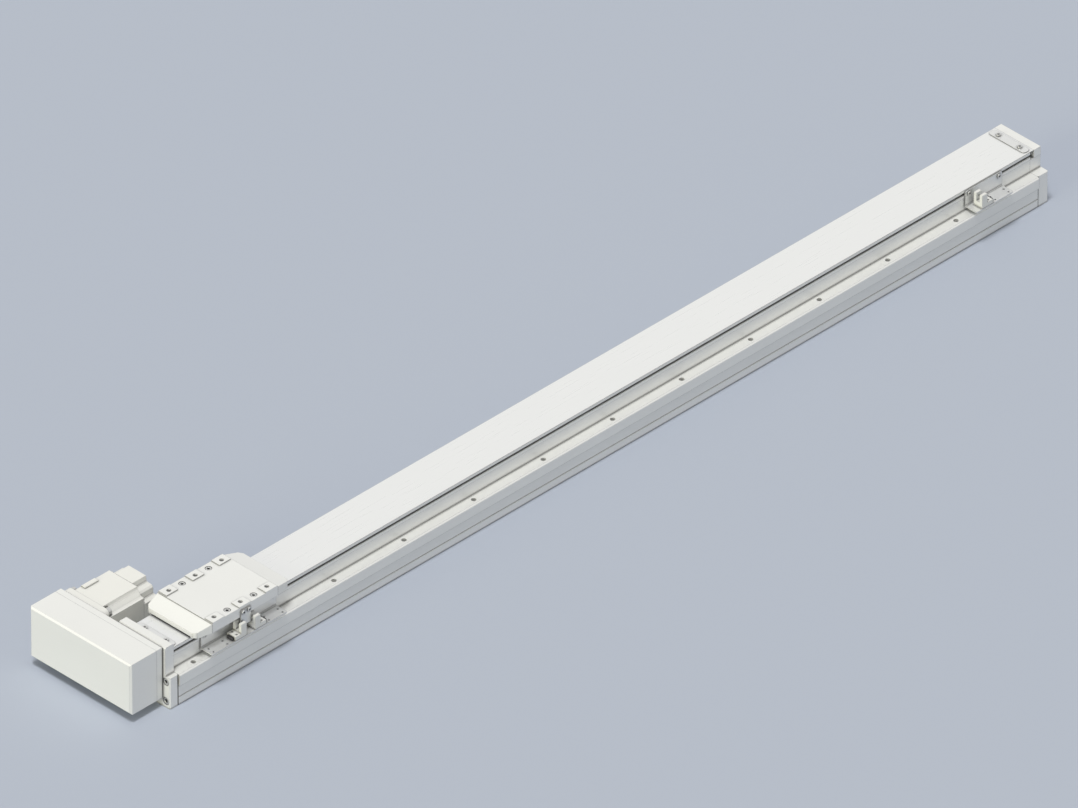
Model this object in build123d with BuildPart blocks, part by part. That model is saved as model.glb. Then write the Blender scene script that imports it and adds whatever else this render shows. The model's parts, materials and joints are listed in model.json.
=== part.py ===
from build123d import *
import math
import os

# Ball screw linear axis with a folded belt drive, in millimetres.
# X runs along the axis from the drive end, Y across it towards the motor, Z up.
# The origin lies on the underside of the beam, below the screw, at the front face
# of the near end plate.

# Travel
dog_rest_x = 107.5

# Beam profile, half widths and heights
body_half = 40.0
flange_half = 42.0
flange_z = 24.5
ledge_z = 38.0
ledge_chamfer = 1.5
foot_chamfer = 0.8
wall_half = 28.2
head_half = 28.5
head_z = 53.5
wall_top_z = 63.1
channel_half = 22.5
cavity_half = 25.5
cavity_floor_z = 10.0
cavity_top_z = 36.0
side_groove_z = 10.0
side_groove_depth = 0.8
side_groove_half = 0.7
beam_length = 1241.5

# T-slot along the outside of each wall
slot_z = 58.4
slot_mouth = 3.2
slot_lip = 1.5
slot_inner = 5.6
slot_depth = 3.6

# Mounting holes in the ledges
ledge_hole_r = 2.75
ledge_hole_y = 35.0
ledge_hole_pitch = 100.0
first_hole_from_beam = 26.0

# Built-in guide rails with ground ball grooves
rail_z = 21.0
rail_height = 16.0
rail_depth = 5.9
rail_seat_gap = 0.05
ball_groove_r = 2.1
rail_gap = 0.6

# Ball screw, bearings and lock nut
axis_z = 41.6
screw_r = 8.0
fixed_journal_r = 6.0
pulley_journal_r = 5.0
far_journal_r = 5.0
shaft_end_gap = 0.5
screw_fit = 0.08
bearing_fit = 0.02
bearing_width = 8.0
fixed_bearing_r = 14.0
far_bearing_r = 13.0
race_wall = 2.7
housing_side_gap = 1.3
housing_bore_r = 9.0
fixed_housing_length = 26.0
far_housing_length = 27.5
lock_nut_r = 10.5
lock_nut_length = 8.0
bumper_length = 4.0
bumper_wall = 3.5
bumper_gap = 1.5
ring_width = 1.0
far_bearing_setback = 1.5
thread_chamfer = 1.0

# End plates
near_plate_length = 12.0
near_plate_half = 33.5
near_plate_top_z = 73.0
far_plate_length = 15.5
plate_chamfer = 1.4
strip_overlap = 5.5
plate_screw_y = 34.0
plate_screw_z = 8.1
plate_screw_top_z = 31.9
plate_hole_r = 12.0
boss_length = 2.0
boss_inner_r = 11.5
boss_fit = 0.1
housing_screw_y = 17.5
housing_screw_z = 24.1
housing_screw_top_z = 48.0

# Cover strip, its clamps and its lift through the carriage
strip_half = 28.2
strip_thick = 0.3
strip_lift = 5.3
strip_joint = 0.3
strip_joint_in = 1.0
strip_flat = 2.0
clamp_length = 10.0
clamp_half = 26.0
clamp_thick = 0.8
clamp_corner_r = 4.0
clamp_inset = 1.7
clamp_screw_y = 15.25
far_clamp_setback = 2.5

# Carriage
table_length = 93.0
table_half = 39.5
table_wall = 3.5
table_hole_edge = 7.0
table_top_z = 75.5
table_under_z = 64.0
pad_rise = 1.0
pad_length = 16.0
pad_width = 12.0
table_hole_pitch = 37.5
table_hole_r = 2.5
table_hole_rows = 3
saddle_thick = 4.0
saddle_inset = 1.0
saddle_gap = 0.1
tunnel_half = 28.7
tunnel_height = 2.2
block_half = 21.0
block_floor_gap = 1.5
cap_length = 21.0
cap_step = 0.7
cap_drop = 4.5
cap_taper = 4.5
cap_corner = 3.8
cap_mouth = 1.6
guide_half = 26.0
guide_clear = 0.3
guide_reach = 13.0
saddle_screw_inset = 10.0
saddle_screw_y = 15.0
saddle_screw_length = 10.0
return_cap_length = 5.0
return_cap_gap = 0.4
return_cap_inset = 0.5

# Ball nut
nut_r = 15.0
nut_bore_gap = 0.05
nut_body_length = 41.0
nut_flange_r = 20.5
nut_flange_length = 8.0
nut_flat = 15.0
nut_screw_circle_r = 17.5
nut_screw_angle = 30.0
nut_screw_length = 8.0

# Belt drive
centre_distance = 85.0
pulley_teeth = 24
belt_pitch = 5.0
pitch_line_gap = 0.57
belt_back = 1.7
belt_width = 15.0
tooth_root = 2.65
tooth_tip = 1.8
tooth_height = 1.2
tooth_sink = 0.3
tooth_gap = 0.3
belt_rest_gap = 0.06
pulley_flange_rise = 3.0
pulley_flange_width = 1.5
pulley_face_gap = 1.0

# Belt box
box_screw_side = 30.0
box_motor_side = 31.0
box_half_height = 31.0
cover_length = 36.8
drive_plate_length = 8.7
cover_wall = 3.0
cover_chamfer = 2.2
spigot_length = 5.0
spigot_gap = 0.1
box_floor_gap = 5.5
shaft_hole_r = 9.0
drive_screw_y = 13.0
drive_screw_dz = 24.0
cover_screw_count = 3

# Motor
motor_half = 30.0
flange_length = 8.0
flange_corner = 6.0
pilot_r = 25.0
pilot_length = 3.0
pilot_gap = 0.05
motor_hole_r = 22.0
motor_bolt_offset = 24.75
motor_shaft_r = 7.0
motor_shaft_fit = 0.05
housing_length = 49.0
rear_length = 20.7
rear_chamfer = 1.0
stator_bore_r = 18.0
rotor_r = 17.4
rotor_shaft_r = 8.0
rotor_end_gap = 4.0
rear_journal_r = 5.0
rear_journal_length = 9.0
scallop_r = 5.0
scallop_length = 6.5
tie_across = 17.0
tie_out = 26.4
tie_depth = 8.0
casing_half = 29.8
housing_flat = 20.2
corner_near = 21.1
corner_far = 25.6
arm_flat = 12.6
arm_root = 13.6
arm_shoulder = 23.4
rear_near = 20.6
rear_far = 22.8
socket_x = 17.0
socket_length = 19.0
socket_width = 6.0
socket_rise = 1.5
socket_chamfer = 0.5

# Sensor brackets, sensors and the dog
sheet = 1.5
bracket_top_z = 62.0
bracket_seat_z = 44.4
bracket_reach = 6.5
bracket_corner_r = 2.0
bracket_bend_r = 0.6
bracket_hole_pitch = 19.6
bracket_hole_half = 3.5
near_bracket_x = 54.0
near_bracket_length = 106.6
far_bracket_setback = 42.9
far_bracket_length = 53.6
bracket_margin = 4.3
near_hole_count = 6
far_hole_count = 3
tee_gap = 0.1
tee_length = 8.0
bracket_screw_inset = 5.0
sensor_slot = 4.6
sensor_prong = 3.8
sensor_prong_length = 7.5
sensor_base_length = 8.3
sensor_base_height = 4.7
sensor_web_height = 6.6
sensor_height = 16.0
sensor_hole_inset = 2.1
sensor_chamfer = 0.4
sensor_screw_depth = 4.2
connector_length = 2.4
connector_height = 3.2
connector_half = 4.2
connector_rise = 0.4
dog_width = 14.0
dog_thick = 1.2
dog_top_z = 72.0
dog_bottom_z = 53.0
dog_screw_z = 69.6
dog_screw_depth = 4.0
dog_screw_half = 4.0

# Fasteners: shank, tapped core, clearance hole, head radius and head height
m2 = dict(shank=0.95, core=0.95, clear=1.1, head=1.8, height=1.2)
m3 = dict(shank=1.5, core=1.55, clear=1.7, head=2.6, height=1.6)
m4 = dict(shank=2.0, core=2.05, clear=2.25, head=3.5, height=4.0)
m5 = dict(shank=2.5, core=2.55, clear=2.75, head=4.25, height=5.0)
sink_gap = 0.25
head_recess = 0.2
bearing_setback = 0.5
thread_gap = 2.0
plate_screw_depth = 16.0
housing_screw_depth = 10.0
clamp_screw_depth = 6.0

# Derived positions along X
beam_x0 = near_plate_length
beam_x1 = beam_x0 + beam_length
far_face_x = beam_x1 + far_plate_length
strip_x1 = beam_x1 + strip_overlap
fixed_housing_x1 = beam_x0 + fixed_housing_length
bearing_x0 = beam_x0 + boss_length
bearing_x1 = bearing_x0 + 2 * bearing_width
far_housing_x0 = beam_x1 - far_housing_length
far_bearing_x1 = beam_x1 - far_bearing_setback
far_bearing_x0 = far_bearing_x1 - bearing_width
table_x0 = dog_rest_x - table_length / 2
table_x1 = table_x0 + table_length
saddle_x0 = table_x0 + saddle_inset
saddle_x1 = table_x1 - saddle_inset
cap_x0 = table_x0 - cap_length
cap_x1 = table_x1 + cap_length
plate_face_x = -drive_plate_length
cover_x0 = plate_face_x - cover_length
spigot_x0 = plate_face_x - spigot_length
motor_y = centre_distance
motor_housing_x1 = flange_length + housing_length
motor_x1 = motor_housing_x1 + rear_length

housing_half = channel_half - housing_side_gap
table_hole_y = table_half - table_hole_edge
saddle_half = table_half - table_wall

# Derived heights
strip_z = wall_top_z + strip_thick
lifted_z = wall_top_z + strip_lift
saddle_z = table_under_z + saddle_thick
tunnel_z = saddle_z + tunnel_height
pad_z = table_top_z + pad_rise
block_z0 = cavity_floor_z + block_floor_gap
box_z0 = axis_z - box_half_height
box_z1 = axis_z + box_half_height
box_y0 = -box_screw_side
box_y1 = centre_distance + box_motor_side

# Belt and pulley sizes
pitch_r = pulley_teeth * belt_pitch / (2 * math.pi)
pulley_r = pitch_r - pitch_line_gap
belt_inner_r = pulley_r + belt_rest_gap
belt_outer_r = pulley_r + belt_back
pulley_face = belt_width + 2 * pulley_face_gap
pulley_length = pulley_face + 2 * pulley_flange_width
pulley_x0 = cover_x0 + cover_wall + box_floor_gap
pulley_x1 = pulley_x0 + pulley_length
belt_x0 = pulley_x0 + pulley_flange_width + pulley_face_gap

os.makedirs("parts", exist_ok=True)


def finish(part, name):
    part.label = name
    export_step(part, f"parts/{name}.step")


def facing(out, points):
    """Planes at the given points whose normal points out of the surface."""
    return [Plane(origin=point, z_dir=out) for point in points]


def drill(planes, radius, depth):
    """Round holes going down into the surface from each plane."""
    with BuildSketch(*planes) as rounds:
        Circle(radius)
    extrude(rounds.sketch, amount=-depth, mode=Mode.SUBTRACT)


def cylinder_x(x0, x1, radius, y=0.0, z=axis_z, mode=Mode.ADD):
    """A cylinder along X from x0 to x1."""
    with BuildSketch(Plane(origin=(x0, y, z), z_dir=(1, 0, 0))) as section:
        Circle(radius)
    extrude(section.sketch, amount=x1 - x0, mode=mode)


def box_between(low, high, mode=Mode.ADD):
    """A block between two opposite corners."""
    with BuildSketch(Plane.XY.offset(low[2])) as footprint:
        with Locations(((low[0] + high[0]) / 2, (low[1] + high[1]) / 2)):
            Rectangle(high[0] - low[0], high[1] - low[1])
    extrude(footprint.sketch, amount=high[2] - low[2], mode=mode)


def cap_screws(seats, size, length):
    """Socket head screws whose heads sit on the given planes."""
    with BuildPart() as screws:
        with BuildSketch(*seats):
            Circle(size["head"])
        extrude(amount=size["height"])
        with BuildSketch(*seats):
            Circle(size["shank"])
        extrude(amount=-length)
    return screws.part


def mirrored(half_outline):
    """A closed outline from its +Y half, mirrored over the centre line."""
    return half_outline + [(-y, z) for y, z in reversed(half_outline)]


# Base beam, one extruded profile
slot_low = slot_z - slot_mouth / 2
slot_high = slot_z + slot_mouth / 2
pocket_low = slot_z - slot_inner / 2
pocket_high = slot_z + slot_inner / 2
rail_outer = block_half + rail_gap + rail_depth
rail_low = rail_z - rail_height / 2
rail_high = rail_z + rail_height / 2
beam_half_outline = [
    (body_half - foot_chamfer, 0),
    (body_half, foot_chamfer),
    (body_half, side_groove_z - side_groove_half),
    (body_half - side_groove_depth, side_groove_z),
    (body_half, side_groove_z + side_groove_half),
    (body_half, flange_z),
    (flange_half, flange_z),
    (flange_half, ledge_z - ledge_chamfer),
    (flange_half - ledge_chamfer, ledge_z),
    (wall_half, ledge_z),
    (wall_half, head_z),
    (head_half, head_z),
    (head_half, slot_low),
    (head_half - slot_lip, slot_low),
    (head_half - slot_lip, pocket_low),
    (head_half - slot_depth, pocket_low),
    (head_half - slot_depth, pocket_high),
    (head_half - slot_lip, pocket_high),
    (head_half - slot_lip, slot_high),
    (head_half, slot_high),
    (head_half, wall_top_z),
    (channel_half, wall_top_z),
    (channel_half, cavity_top_z),
    (cavity_half, cavity_top_z),
    (cavity_half, rail_high),
    (rail_outer, rail_high),
    (rail_outer, rail_low),
    (cavity_half, rail_low),
    (cavity_half, cavity_floor_z),
]
ledge_hole_count = 1 + int((beam_length - 2 * first_hole_from_beam) / ledge_hole_pitch)
ledge_xs = [beam_x0 + first_hole_from_beam + i * ledge_hole_pitch for i in range(ledge_hole_count)]
plate_screw_spots = [
    (y, z) for z in (plate_screw_z, plate_screw_top_z) for y in (plate_screw_y, -plate_screw_y)
]
with BuildPart() as base_beam:
    with BuildSketch(Plane.YZ.offset(beam_x0)):
        with BuildLine():
            Polyline(*mirrored(beam_half_outline), close=True)
        make_face()
    extrude(amount=beam_length)
    ledge_points = [(x, y, ledge_z) for x in ledge_xs for y in (ledge_hole_y, -ledge_hole_y)]
    drill(facing((0, 0, 1), ledge_points), ledge_hole_r, ledge_z)
    near_taps = facing((-1, 0, 0), [(beam_x0, y, z) for y, z in plate_screw_spots])
    drill(near_taps, m5["core"], plate_screw_depth)
    far_taps = facing((1, 0, 0), [(beam_x1, y, z) for y, z in plate_screw_spots])
    drill(far_taps, m5["core"], plate_screw_depth)
finish(base_beam.part, "base_beam")

# Guide rails pressed into the channel, each with one ball groove
rail_inner = block_half + rail_gap
groove_y = block_half + rail_gap / 2
for side, name in ((1, "guide_rail_motor_side"), (-1, "guide_rail_sensor_side")):
    with BuildPart() as guide_rail:
        with BuildSketch(Plane.YZ.offset(beam_x0)):
            with Locations((side * (rail_inner + rail_outer - rail_seat_gap) / 2, rail_z)):
                Rectangle(rail_depth - rail_seat_gap, rail_height - 2 * rail_seat_gap)
            with Locations((side * groove_y, rail_z)):
                Circle(ball_groove_r, mode=Mode.SUBTRACT)
        extrude(amount=beam_length)
    finish(guide_rail.part, name)

# Near end plate, wide at the foot and tall behind the belt box
housing_spots = [
    (y, z) for z in (housing_screw_z, housing_screw_top_z) for y in (housing_screw_y, -housing_screw_y)
]
drive_spots = [
    (y, axis_z + dz) for dz in (drive_screw_dz, -drive_screw_dz) for y in (drive_screw_y, -drive_screw_y)
]
with BuildPart() as near_end_plate:
    with BuildSketch(Plane.YZ):
        with BuildLine():
            Polyline(
                *mirrored(
                    [
                        (body_half, 0),
                        (body_half, ledge_z),
                        (near_plate_half, ledge_z),
                        (near_plate_half, near_plate_top_z),
                    ]
                ),
                close=True,
            )
        make_face()
    extrude(amount=near_plate_length)
    upright = near_end_plate.edges().filter_by(Axis.Z)
    tops = near_end_plate.faces().filter_by(Axis.Z).sort_by(Axis.Z)[-1].edges().filter_by(Axis.Y)
    chamfer(upright.group_by(Axis.Y)[0] + upright.group_by(Axis.Y)[-1] + tops, plate_chamfer)
    cylinder_x(near_plate_length, near_plate_length + boss_length, fixed_bearing_r - boss_fit)
    cylinder_x(0, near_plate_length, plate_hole_r, mode=Mode.SUBTRACT)
    cylinder_x(near_plate_length, near_plate_length + boss_length, boss_inner_r, mode=Mode.SUBTRACT)
    front = facing((-1, 0, 0), [(0, y, z) for y, z in plate_screw_spots])
    drill(front, m5["clear"], near_plate_length)
    drill(front, m5["head"] + sink_gap, m5["height"] + head_recess)
    small = facing((-1, 0, 0), [(0, y, z) for y, z in housing_spots])
    drill(small, m4["clear"], near_plate_length)
    drill(small, m4["head"] + sink_gap, m4["height"] + head_recess)
    drill(facing((-1, 0, 0), [(0, y, z) for y, z in drive_spots]), m4["core"], near_plate_length)
finish(near_end_plate.part, "near_end_plate")

m5_sink = m5["height"] + head_recess
plate_screw_reach = plate_screw_depth - thread_gap
near_plate_seats = facing((-1, 0, 0), [(m5_sink, y, z) for y, z in plate_screw_spots])
near_plate_screws = cap_screws(near_plate_seats, m5, near_plate_length - m5_sink + plate_screw_reach)
finish(near_plate_screws, "near_plate_screws")

# Far end plate with its shoulder flush with the walls and its cap flush with the strip
with BuildPart() as far_end_plate:
    with BuildSketch(Plane.YZ.offset(beam_x1)):
        with BuildLine():
            Polyline(
                *mirrored(
                    [(body_half, 0), (body_half, ledge_z), (wall_half, ledge_z), (wall_half, head_z)]
                ),
                close=True,
            )
        make_face()
    extrude(amount=far_plate_length)
    upright = far_end_plate.edges().filter_by(Axis.Z)
    chamfer(upright.group_by(Axis.Y)[0] + upright.group_by(Axis.Y)[-1], plate_chamfer)
    box_between((strip_x1, -head_half, head_z), (far_face_x, head_half, strip_z))
    back = facing((1, 0, 0), [(far_face_x, y, z) for y, z in plate_screw_spots])
    drill(back, m5["clear"], far_plate_length)
    drill(back, m5["head"] + sink_gap, m5["height"] + head_recess)
    small = facing((1, 0, 0), [(far_face_x, y, z) for y, z in housing_spots])
    drill(small, m4["clear"], far_plate_length)
    drill(small, m4["head"] + sink_gap, m4["height"] + head_recess)
finish(far_end_plate.part, "far_end_plate")

far_plate_seats = facing((1, 0, 0), [(far_face_x - m5_sink, y, z) for y, z in plate_screw_spots])
far_plate_screws = cap_screws(far_plate_seats, m5, far_plate_length - m5_sink + plate_screw_reach)
finish(far_plate_screws, "far_plate_screws")

# Bearing housings inside the channel, one at each end
near_clamp_x = beam_x0 + clamp_inset + clamp_length / 2
far_clamp_x = strip_x1 - far_clamp_setback - clamp_length / 2
with BuildPart() as fixed_bearing_housing:
    box_between(
        (beam_x0, -housing_half, cavity_floor_z), (fixed_housing_x1, housing_half, wall_top_z)
    )
    cylinder_x(beam_x0, bearing_x1, fixed_bearing_r + bearing_fit, mode=Mode.SUBTRACT)
    cylinder_x(bearing_x1, fixed_housing_x1, housing_bore_r, mode=Mode.SUBTRACT)
    drill(
        facing((-1, 0, 0), [(beam_x0, y, z) for y, z in housing_spots]), m4["core"], housing_screw_depth
    )
    drill(
        facing((0, 0, 1), [(near_clamp_x, y, wall_top_z) for y in (clamp_screw_y, -clamp_screw_y)]),
        m3["core"],
        clamp_screw_depth,
    )
finish(fixed_bearing_housing.part, "fixed_bearing_housing")

with BuildPart() as far_bearing_housing:
    box_between((far_housing_x0, -housing_half, cavity_floor_z), (beam_x1, housing_half, wall_top_z))
    box_between((beam_x1, -housing_half, head_z + rail_gap), (strip_x1, housing_half, wall_top_z))
    cylinder_x(far_bearing_x0, beam_x1, far_bearing_r + bearing_fit, mode=Mode.SUBTRACT)
    cylinder_x(far_housing_x0, far_bearing_x0, housing_bore_r, mode=Mode.SUBTRACT)
    drill(
        facing((1, 0, 0), [(beam_x1, y, z) for y, z in housing_spots]), m4["core"], housing_screw_depth
    )
    drill(
        facing((0, 0, 1), [(far_clamp_x, y, wall_top_z) for y in (clamp_screw_y, -clamp_screw_y)]),
        m3["core"],
        clamp_screw_depth,
    )
finish(far_bearing_housing.part, "far_bearing_housing")

m4_sink = m4["height"] + head_recess
housing_screw_reach = housing_screw_depth - thread_gap
fixed_housing_seats = facing((-1, 0, 0), [(m4_sink, y, z) for y, z in housing_spots])
fixed_housing_screws = cap_screws(
    fixed_housing_seats, m4, near_plate_length - m4_sink + housing_screw_reach
)
finish(fixed_housing_screws, "fixed_housing_screws")
far_housing_seats = facing((1, 0, 0), [(far_face_x - m4_sink, y, z) for y, z in housing_spots])
far_housing_screws = cap_screws(far_housing_seats, m4, far_plate_length - m4_sink + housing_screw_reach)
finish(far_housing_screws, "far_housing_screws")

# Bearings as separate outer and inner rings
fixed_ring_xs = [bearing_x0 + i * bearing_width for i in range(2)]
ring_end_gap = 0.1


def bearing_ring(x_starts, outer_r, inner_r):
    with BuildPart() as ring:
        for x in x_starts:
            cylinder_x(x + ring_end_gap / 2, x + bearing_width - ring_end_gap / 2, outer_r)
            cylinder_x(x, x + bearing_width, inner_r, mode=Mode.SUBTRACT)
    return ring.part


finish(
    bearing_ring(fixed_ring_xs, fixed_bearing_r, fixed_bearing_r - race_wall), "fixed_bearing_outer_rings"
)
finish(
    bearing_ring(fixed_ring_xs, fixed_journal_r + race_wall, fixed_journal_r + bearing_fit),
    "fixed_bearing_inner_rings",
)
finish(bearing_ring([far_bearing_x0], far_bearing_r, far_bearing_r - race_wall), "far_bearing_outer_ring")
finish(
    bearing_ring([far_bearing_x0], far_journal_r + race_wall, far_journal_r + bearing_fit),
    "far_bearing_inner_ring",
)

# Rubber stop rings on the inner faces of the housings
with BuildPart() as travel_bumpers:
    for x0, x1 in (
        (fixed_housing_x1, fixed_housing_x1 + bumper_length),
        (far_housing_x0 - bumper_length, far_housing_x0),
    ):
        cylinder_x(x0, x1, screw_r + bumper_gap + bumper_wall)
        cylinder_x(x0, x1, screw_r + bumper_gap, mode=Mode.SUBTRACT)
finish(travel_bumpers.part, "travel_bumpers")

# Screw shaft with its turned journals
screw_x1 = beam_x1 - shaft_end_gap
pulley_journal_x0 = pulley_x0 - ring_width
nut_thread_x0 = bearing_x0 - lock_nut_length
with BuildPart() as ball_screw:
    cylinder_x(bearing_x1, far_bearing_x0, screw_r)
    cylinder_x(nut_thread_x0, bearing_x1, fixed_journal_r)
    cylinder_x(pulley_journal_x0, nut_thread_x0, pulley_journal_r)
    cylinder_x(far_bearing_x0, screw_x1, far_journal_r)
    shaft_ends = ball_screw.edges().filter_by(GeomType.CIRCLE).sort_by(Axis.X)
    chamfer([shaft_ends[0], shaft_ends[-1]], thread_chamfer / 2)
finish(ball_screw.part, "ball_screw")

with BuildPart() as lock_nut:
    cylinder_x(nut_thread_x0, bearing_x0, lock_nut_r)
    cylinder_x(nut_thread_x0, bearing_x0, fixed_journal_r + bearing_fit, mode=Mode.SUBTRACT)
    with BuildSketch(Plane(origin=(nut_thread_x0, 0, axis_z), z_dir=(1, 0, 0))):
        with PolarLocations(lock_nut_r, 4):
            Rectangle(2 * ring_width, 4 * ring_width)
    extrude(amount=lock_nut_length, mode=Mode.SUBTRACT)
finish(lock_nut.part, "bearing_lock_nut")

# Timing pulleys with trapezoid grooves, and the toothed belt that joins them
def tooth_outline(gap, mode=Mode.ADD):
    """A trapezoid whose wide root lies outwards along the local X axis."""
    root = tooth_root / 2 + gap
    tip = tooth_tip / 2 + gap
    depth = tooth_height + gap
    Polygon(
        (tooth_sink, root), (-depth, tip), (-depth, -tip), (tooth_sink, -root), align=None, mode=mode
    )


def timing_pulley(y, bore_r):
    with BuildPart() as pulley:
        with BuildSketch(Plane(origin=(pulley_x0, y, axis_z), x_dir=(0, 1, 0), z_dir=(1, 0, 0))):
            Circle(pulley_r)
            with PolarLocations(pulley_r, pulley_teeth, start_angle=90.0):
                tooth_outline(tooth_gap, mode=Mode.SUBTRACT)
        extrude(amount=pulley_length)
        for x in (pulley_x0, pulley_x1 - pulley_flange_width):
            cylinder_x(x, x + pulley_flange_width, pulley_r + pulley_flange_rise, y)
        cylinder_x(pulley_x0, pulley_x1, bore_r, y, mode=Mode.SUBTRACT)
    return pulley.part


finish(timing_pulley(0, pulley_journal_r + bearing_fit), "screw_pulley")
finish(timing_pulley(motor_y, motor_shaft_r + bearing_fit), "motor_pulley")

half_turn_teeth = pulley_teeth // 2
span_teeth = round(centre_distance / belt_pitch)
with BuildPart() as timing_belt:
    with BuildSketch(Plane(origin=(belt_x0, 0, axis_z), x_dir=(0, 1, 0), z_dir=(1, 0, 0))):
        with Locations((centre_distance / 2, 0)):
            SlotCenterToCenter(centre_distance, 2 * belt_outer_r)
            SlotCenterToCenter(centre_distance, 2 * belt_inner_r, mode=Mode.SUBTRACT)
        for y, start_angle in ((0, 90), (centre_distance, 270)):
            with Locations((y, 0)):
                with PolarLocations(pulley_r, half_turn_teeth, start_angle, angular_range=180):
                    tooth_outline(0)
        for i in range(span_teeth):
            with Locations(Location((i * belt_pitch + belt_pitch, pulley_r, 0), (0, 0, 90))):
                tooth_outline(0)
            with Locations(Location((i * belt_pitch, -pulley_r, 0), (0, 0, -90))):
                tooth_outline(0)
    extrude(amount=belt_width)
finish(timing_belt.part, "timing_belt")

# Drive plate that carries the motor and closes the back of the belt cover
motor_spots = [
    (motor_y + dy, axis_z + dz)
    for dy in (motor_bolt_offset, -motor_bolt_offset)
    for dz in (motor_bolt_offset, -motor_bolt_offset)
]
inner_y0 = box_y0 + cover_wall
inner_y1 = box_y1 - cover_wall
inner_z0 = box_z0 + cover_wall
inner_z1 = box_z1 - cover_wall
cover_screw_x = plate_face_x - spigot_length / 2
cover_ys = [box_y0 + (i + 0.5) * (box_y1 - box_y0) / cover_screw_count for i in range(cover_screw_count)]
cover_screw_zs = [axis_z - box_half_height / 2, axis_z + box_half_height / 2]
with BuildPart() as drive_plate:
    box_between((plate_face_x, box_y0, box_z0), (0, box_y1, box_z1))
    rear_rim = drive_plate.faces().sort_by(Axis.X)[-1].edges()
    chamfer(rear_rim, cover_chamfer / 2)
    box_between(
        (spigot_x0, inner_y0 + spigot_gap, inner_z0 + spigot_gap),
        (plate_face_x, inner_y1 - spigot_gap, inner_z1 - spigot_gap),
    )
    cylinder_x(spigot_x0, 0, shaft_hole_r, mode=Mode.SUBTRACT)
    cylinder_x(spigot_x0, 0, motor_hole_r, motor_y, mode=Mode.SUBTRACT)
    cylinder_x(-pilot_length, 0, pilot_r + pilot_gap, motor_y, mode=Mode.SUBTRACT)
    drill(facing((1, 0, 0), [(0, y, z) for y, z in motor_spots]), m5["core"], drive_plate_length)
    inner = facing((-1, 0, 0), [(spigot_x0, y, z) for y, z in drive_spots])
    drill(inner, m4["clear"], spigot_length + drive_plate_length)
    drill(inner, m4["head"] + sink_gap, m4["height"] + head_recess)
    under = [(cover_screw_x, y, inner_z0 + spigot_gap) for y in cover_ys]
    drill(facing((0, 0, -1), under), m2["core"], cover_wall)
    end = [(cover_screw_x, inner_y1 - spigot_gap, z) for z in cover_screw_zs]
    drill(facing((0, 1, 0), end), m2["core"], cover_wall)
finish(drive_plate.part, "drive_plate")

drive_seats = facing((-1, 0, 0), [(spigot_x0 + m4_sink, y, z) for y, z in drive_spots])
drive_screw_length = spigot_length + drive_plate_length - m4_sink + near_plate_length - thread_gap
finish(cap_screws(drive_seats, m4, drive_screw_length), "drive_plate_screws")

# Belt cover, a shell open towards the drive plate
with BuildPart() as belt_cover:
    box_between((cover_x0, box_y0, box_z0), (plate_face_x, box_y1, box_z1))
    chamfer(belt_cover.faces().sort_by(Axis.X)[0].edges(), cover_chamfer)
    box_between(
        (cover_x0 + cover_wall, inner_y0, inner_z0), (plate_face_x, inner_y1, inner_z1), mode=Mode.SUBTRACT
    )
    under = facing((0, 0, -1), [(cover_screw_x, y, box_z0) for y in cover_ys])
    drill(under, m2["clear"], cover_wall)
    drill(under, m2["head"] + sink_gap, m2["height"] + head_recess)
    end = facing((0, 1, 0), [(cover_screw_x, box_y1, z) for z in cover_screw_zs])
    drill(end, m2["clear"], cover_wall)
    drill(end, m2["head"] + sink_gap, m2["height"] + head_recess)
finish(belt_cover.part, "belt_cover")

m2_sink = m2["height"] + head_recess
cover_seats = facing((0, 0, -1), [(cover_screw_x, y, box_z0 + m2_sink) for y in cover_ys])
cover_seats += facing((0, 1, 0), [(cover_screw_x, box_y1 - m2_sink, z) for z in cover_screw_zs])
finish(cap_screws(cover_seats, m2, 2 * cover_wall - m2_sink - bearing_setback), "belt_cover_screws")

# Motor, flange first
with BuildPart() as motor_flange:
    with BuildSketch(Plane(origin=(0, motor_y, axis_z), x_dir=(0, 1, 0), z_dir=(1, 0, 0))):
        RectangleRounded(2 * motor_half, 2 * motor_half, flange_corner)
    extrude(amount=flange_length)
    cylinder_x(-pilot_length, 0, pilot_r, motor_y)
    cylinder_x(-pilot_length, flange_length, motor_shaft_r + motor_shaft_fit, motor_y, mode=Mode.SUBTRACT)
    drill(facing((1, 0, 0), [(flange_length, y, z) for y, z in motor_spots]), m5["clear"], flange_length)
finish(motor_flange.part, "motor_flange")


def four_fold(corner):
    """A closed outline from the points of one corner, turned to all four."""
    points = []
    for turns in range(4):
        for a, b in corner:
            for _ in range(turns):
                a, b = b, -a
            points.append((a, b))
    return points


def motor_casing(x0, x1, corner):
    """A length of motor casing with the same section all along."""
    with BuildSketch(Plane(origin=(x0, motor_y, axis_z), x_dir=(0, 1, 0), z_dir=(1, 0, 0))) as section:
        with BuildLine():
            Polyline(*four_fold(corner), close=True)
        make_face()
    extrude(section.sketch, amount=x1 - x0)


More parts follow.
